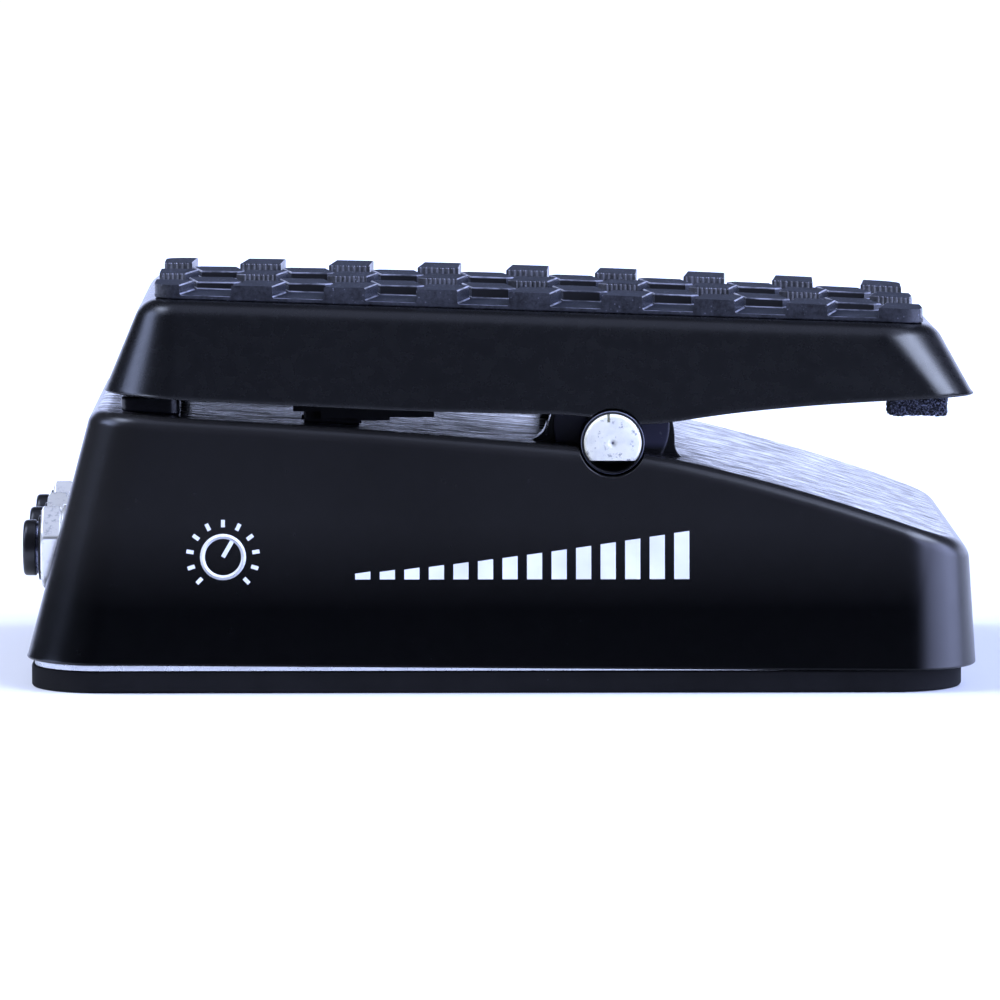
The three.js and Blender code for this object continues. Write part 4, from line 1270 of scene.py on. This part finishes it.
def dial_stroke(degrees, r0, r1, half_width):
    """A radial stroke on the dial."""
    angle = math.radians(degrees)
    across_x, across_z = math.sin(angle) * half_width, -math.cos(angle) * half_width
    return [(x + side * across_x, z + side * across_z)
            for (x, z), side in ((on_dial(angle, r0), 1), (on_dial(angle, r1), 1),
                                 (on_dial(angle, r1), -1), (on_dial(angle, r0), -1))]


def print_shapes():
    """Flat shapes of x, z points: rising bars, then the dial's ticks, ring and pointer."""
    shapes = []
    for k in range(BAR_COUNT):
        x0 = BAR_X + k * BAR_PITCH
        x1 = x0 + BAR_WIDTH
        height = 1.3 + 6.6 * (k / (BAR_COUNT - 1)) ** 1.25
        shapes.append([(x0, BAR_Z), (x1, BAR_Z), (x1, BAR_Z + height),
                       (x0, BAR_Z + height - 0.35)])
    for k in range(11):
        shapes.append(dial_stroke(225 - 27 * k, 4.9, 6.1, 0.32))
    r0, r1 = DIAL_RING
    for k in range(40):
        a0, a1 = math.radians(9 * k), math.radians(9 * (k + 1))
        shapes.append([on_dial(a0, r0), on_dial(a0, r1), on_dial(a1, r1), on_dial(a1, r0)])
    shapes.append(dial_stroke(60, 0, 3.05, 0.35))
    return shapes


def side_print():
    """A dial mark and rising bars, as a thin film on the drafted wall."""
    verts, faces = [], []
    for shape in print_shapes():
        wall, face = ([(x, -base_outline(z).half_width - lift, z) for x, z in shape]
                      for lift in (0.0, PRINT_FILM))
        film = prism(wall, face)
        start = len(verts)
        verts += [tuple(vertex.co / MM) for vertex in film.data.vertices]
        faces += [tuple(start + i for i in polygon.vertices) for polygon in film.data.polygons]
        bpy.data.objects.remove(film)
    finish_piece(make(verts, faces), "side_graphic_print", "base", WHITE_PRINT,
                 (), 30, False)


side_print()

# ------------------------------------------------------------------ materials of the CAD parts
CAD_MATERIALS = {
    "band_drum": BRASS, "circuit_board": BOARD, "potentiometer_cable": CABLE,
    "drive_sector": SECTOR_BLACK, "potentiometer_case": ALUMINIUM,
    "potentiometer_shaft": ALUMINIUM, "drive_band": STEEL, "band_wrap": STEEL}

for name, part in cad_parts.items():
    if part.hide_render:
        continue
    material = BRASS if name.endswith("tip_spring") else CAD_MATERIALS.get(name, SCREW_STEEL)
    if part.material_slots:
        for slot in part.material_slots:
            slot.link = "OBJECT"
            slot.material = material
    else:
        part.data.materials.append(material)

# ------------------------------------------------------------------ stage (metres)
scene = bpy.context.scene
scene.view_settings.view_transform = "Standard"
scene.view_settings.look = "None"


def link_new(name, data):
    thing = bpy.data.objects.new(name, data)
    scene.collection.objects.link(thing)
    return thing


def floor_material():
    shader = Shader("floor_white")
    camera_ray = shader.camera_ray()
    x, y, _ = shader.split(shader.coords)
    # the camera sees white all over; other rays find it dark a little in front of the pedal
    lit = shader.math("MAXIMUM", camera_ray, shader.smooth(y, -0.20, -0.085))
    shader.set(base=shader.mix(lit, (0.05, 0.05, 0.055), (0.66, 0.67, 0.72)),
               rough=0.6, spec=0.15)
    # a glow that only the camera sees, growing with distance from the pedal
    distance = shader.math("SQRT", shader.add(shader.mul(x, x), shader.mul(y, y)))
    glow = shader.smooth(distance, 0.10, 0.45, to=(0.02, 0.75))
    emission = shader.node("Emission", {0: (0.55, 0.68, 1.0), 1: shader.mul(camera_ray, glow)})
    both = shader.node("AddShader", {0: shader.bsdf.outputs[0], 1: emission.outputs[0]})
    shader.link(both.outputs[0], shader.tree.nodes["Material Output"].inputs[0])
    return shader.material


def stage_floor():
    half = 1.6
    mesh = bpy.data.meshes.new("floor")
    mesh.from_pydata([(-half, -half, 0), (half, -half, 0), (half, half, 0), (-half, half, 0)],
                     [], [(0, 1, 2, 3)])
    floor = link_new("floor", mesh)
    floor.data.materials.append(floor_material())


def world_lights(graph):
    """Soft panels painted on the sky: (mask, colour) pairs. Angles are in degrees."""
    x, y, z = graph.split(graph.node("TexCoord").outputs["Generated"])
    toward_viewer = graph.mul(y, -1.0)
    # 0 towards the viewer, 90 to the heel side, 180 behind
    azimuth = graph.math("DEGREES", graph.math("ARCTAN2", x, toward_viewer))
    elevation = graph.math("DEGREES", graph.math("ARCSINE", z))
    # 0 towards the viewer, 90 overhead, 180 behind
    overhead = graph.math("DEGREES", graph.math("ARCTAN2", z, toward_viewer))
    mul, smooth, between, inverse = graph.mul, graph.smooth, graph.between, graph.inverse
    toe_side = smooth(mul(azimuth, -1.0), 144, 164)
    behind = graph.math("MAXIMUM", smooth(azimuth, 108, 126), toe_side)
    heelward = graph.add(0.45, mul(smooth(x, 0.12, 0.32), 0.55))
    clear_of_ends = inverse(smooth(graph.math("ABSOLUTE", x), 0.8, 0.97))
    return [
        # the lit backdrop, wider on the heel side
        (mul(behind, inverse(smooth(elevation, 10, 22))), (1.42, 1.62, 2.45)),
        # a large reflector on the heel side
        (mul(between(azimuth, 34, 106, soft=12), inverse(smooth(elevation, 26, 40))),
         (3.4, 3.9, 6.6)),
        # raised softbox on the heel side
        (mul(between(azimuth, 40, 98, soft=12), between(elevation, 38, 60, soft=7)),
         (9.0, 10.3, 14.2)),
        # tall key window on the toe side, brighter towards its top
        (mul(between(azimuth, -106, -74, soft=9), between(elevation, 22, 48, soft=7)),
         (3.2, 3.8, 6.0)),
        (mul(between(azimuth, -120, -74, soft=12), between(elevation, 56, 71, soft=6)),
         (6.5, 7.4, 10.0)),
        # overhead bank, stronger towards the heel
        (mul(between(overhead, 70, 112, soft=9), mul(heelward, clear_of_ends)),
         (0.85, 0.95, 1.40)),
    ]


def studio_world():
    world = bpy.data.worlds.new("studio")
    scene.world = world
    world.use_nodes = True
    graph = Graph(world.node_tree)
    graph.tree.nodes.clear()

    def add_colours(a, b):
        return graph.node("VectorMath", {0: a, 1: b}, operation="ADD").outputs[0]
    total = None
    for mask, colour in world_lights(graph):
        panel = graph.node("VectorMath", {0: colour, "Scale": mask}, operation="SCALE").outputs[0]
        total = panel if total is None else add_colours(total, panel)
    total = add_colours(total, (0.024, 0.026, 0.034))  # faint fill everywhere
    output = graph.node("OutputWorld")
    # the camera itself sees plain white
    seen = graph.node("Background", {0: (1, 1, 1), 1: 1.05})
    lighting = graph.node("Background", {0: total})
    mix = graph.node("MixShader", {0: graph.camera_ray(), 1: lighting.outputs[0],
                                   2: seen.outputs[0]})
    graph.link(mix.outputs[0], output.inputs[0])


def softbox():
    light = bpy.data.lights.new("left_softbox", "AREA")
    light.shape = "RECTANGLE"
    light.size = 0.7
    light.size_y = 0.7
    light.energy = 15.0
    light.color = (0.90, 0.94, 1.0)
    lamp = link_new("left_softbox", light)
    place, target = Vector((-0.95, -0.12, 0.85)), Vector((0, 0, 0.04))
    lamp.location = place
    lamp.rotation_euler = (target - place).to_track_quat("-Z", "Y").to_euler()
    lamp.visible_glossy = False


def camera():
    """A long lens a little above the tread, square on to the near side."""
    right = Vector((0.99992408, -0.01232178, 0.0))
    forward = Vector((0.01225837, 0.99477835, -0.1013201))
    up = Vector((0.00124844, 0.10131241, 0.99485388))
    place = Vector((-14.99338725, -1239.44325753, 153.39851739))
    data = bpy.data.cameras.new("camera")
    data.sensor_width = 36
    data.lens = 261.576
    data.clip_start = 0.05
    data.clip_end = 20
    rig = link_new("camera", data)
    pose = Matrix((right, up, -forward)).transposed().to_4x4()
    pose.translation = place * MM
    rig.matrix_world = pose
    scene.camera = rig


stage_floor()
studio_world()
softbox()
camera()
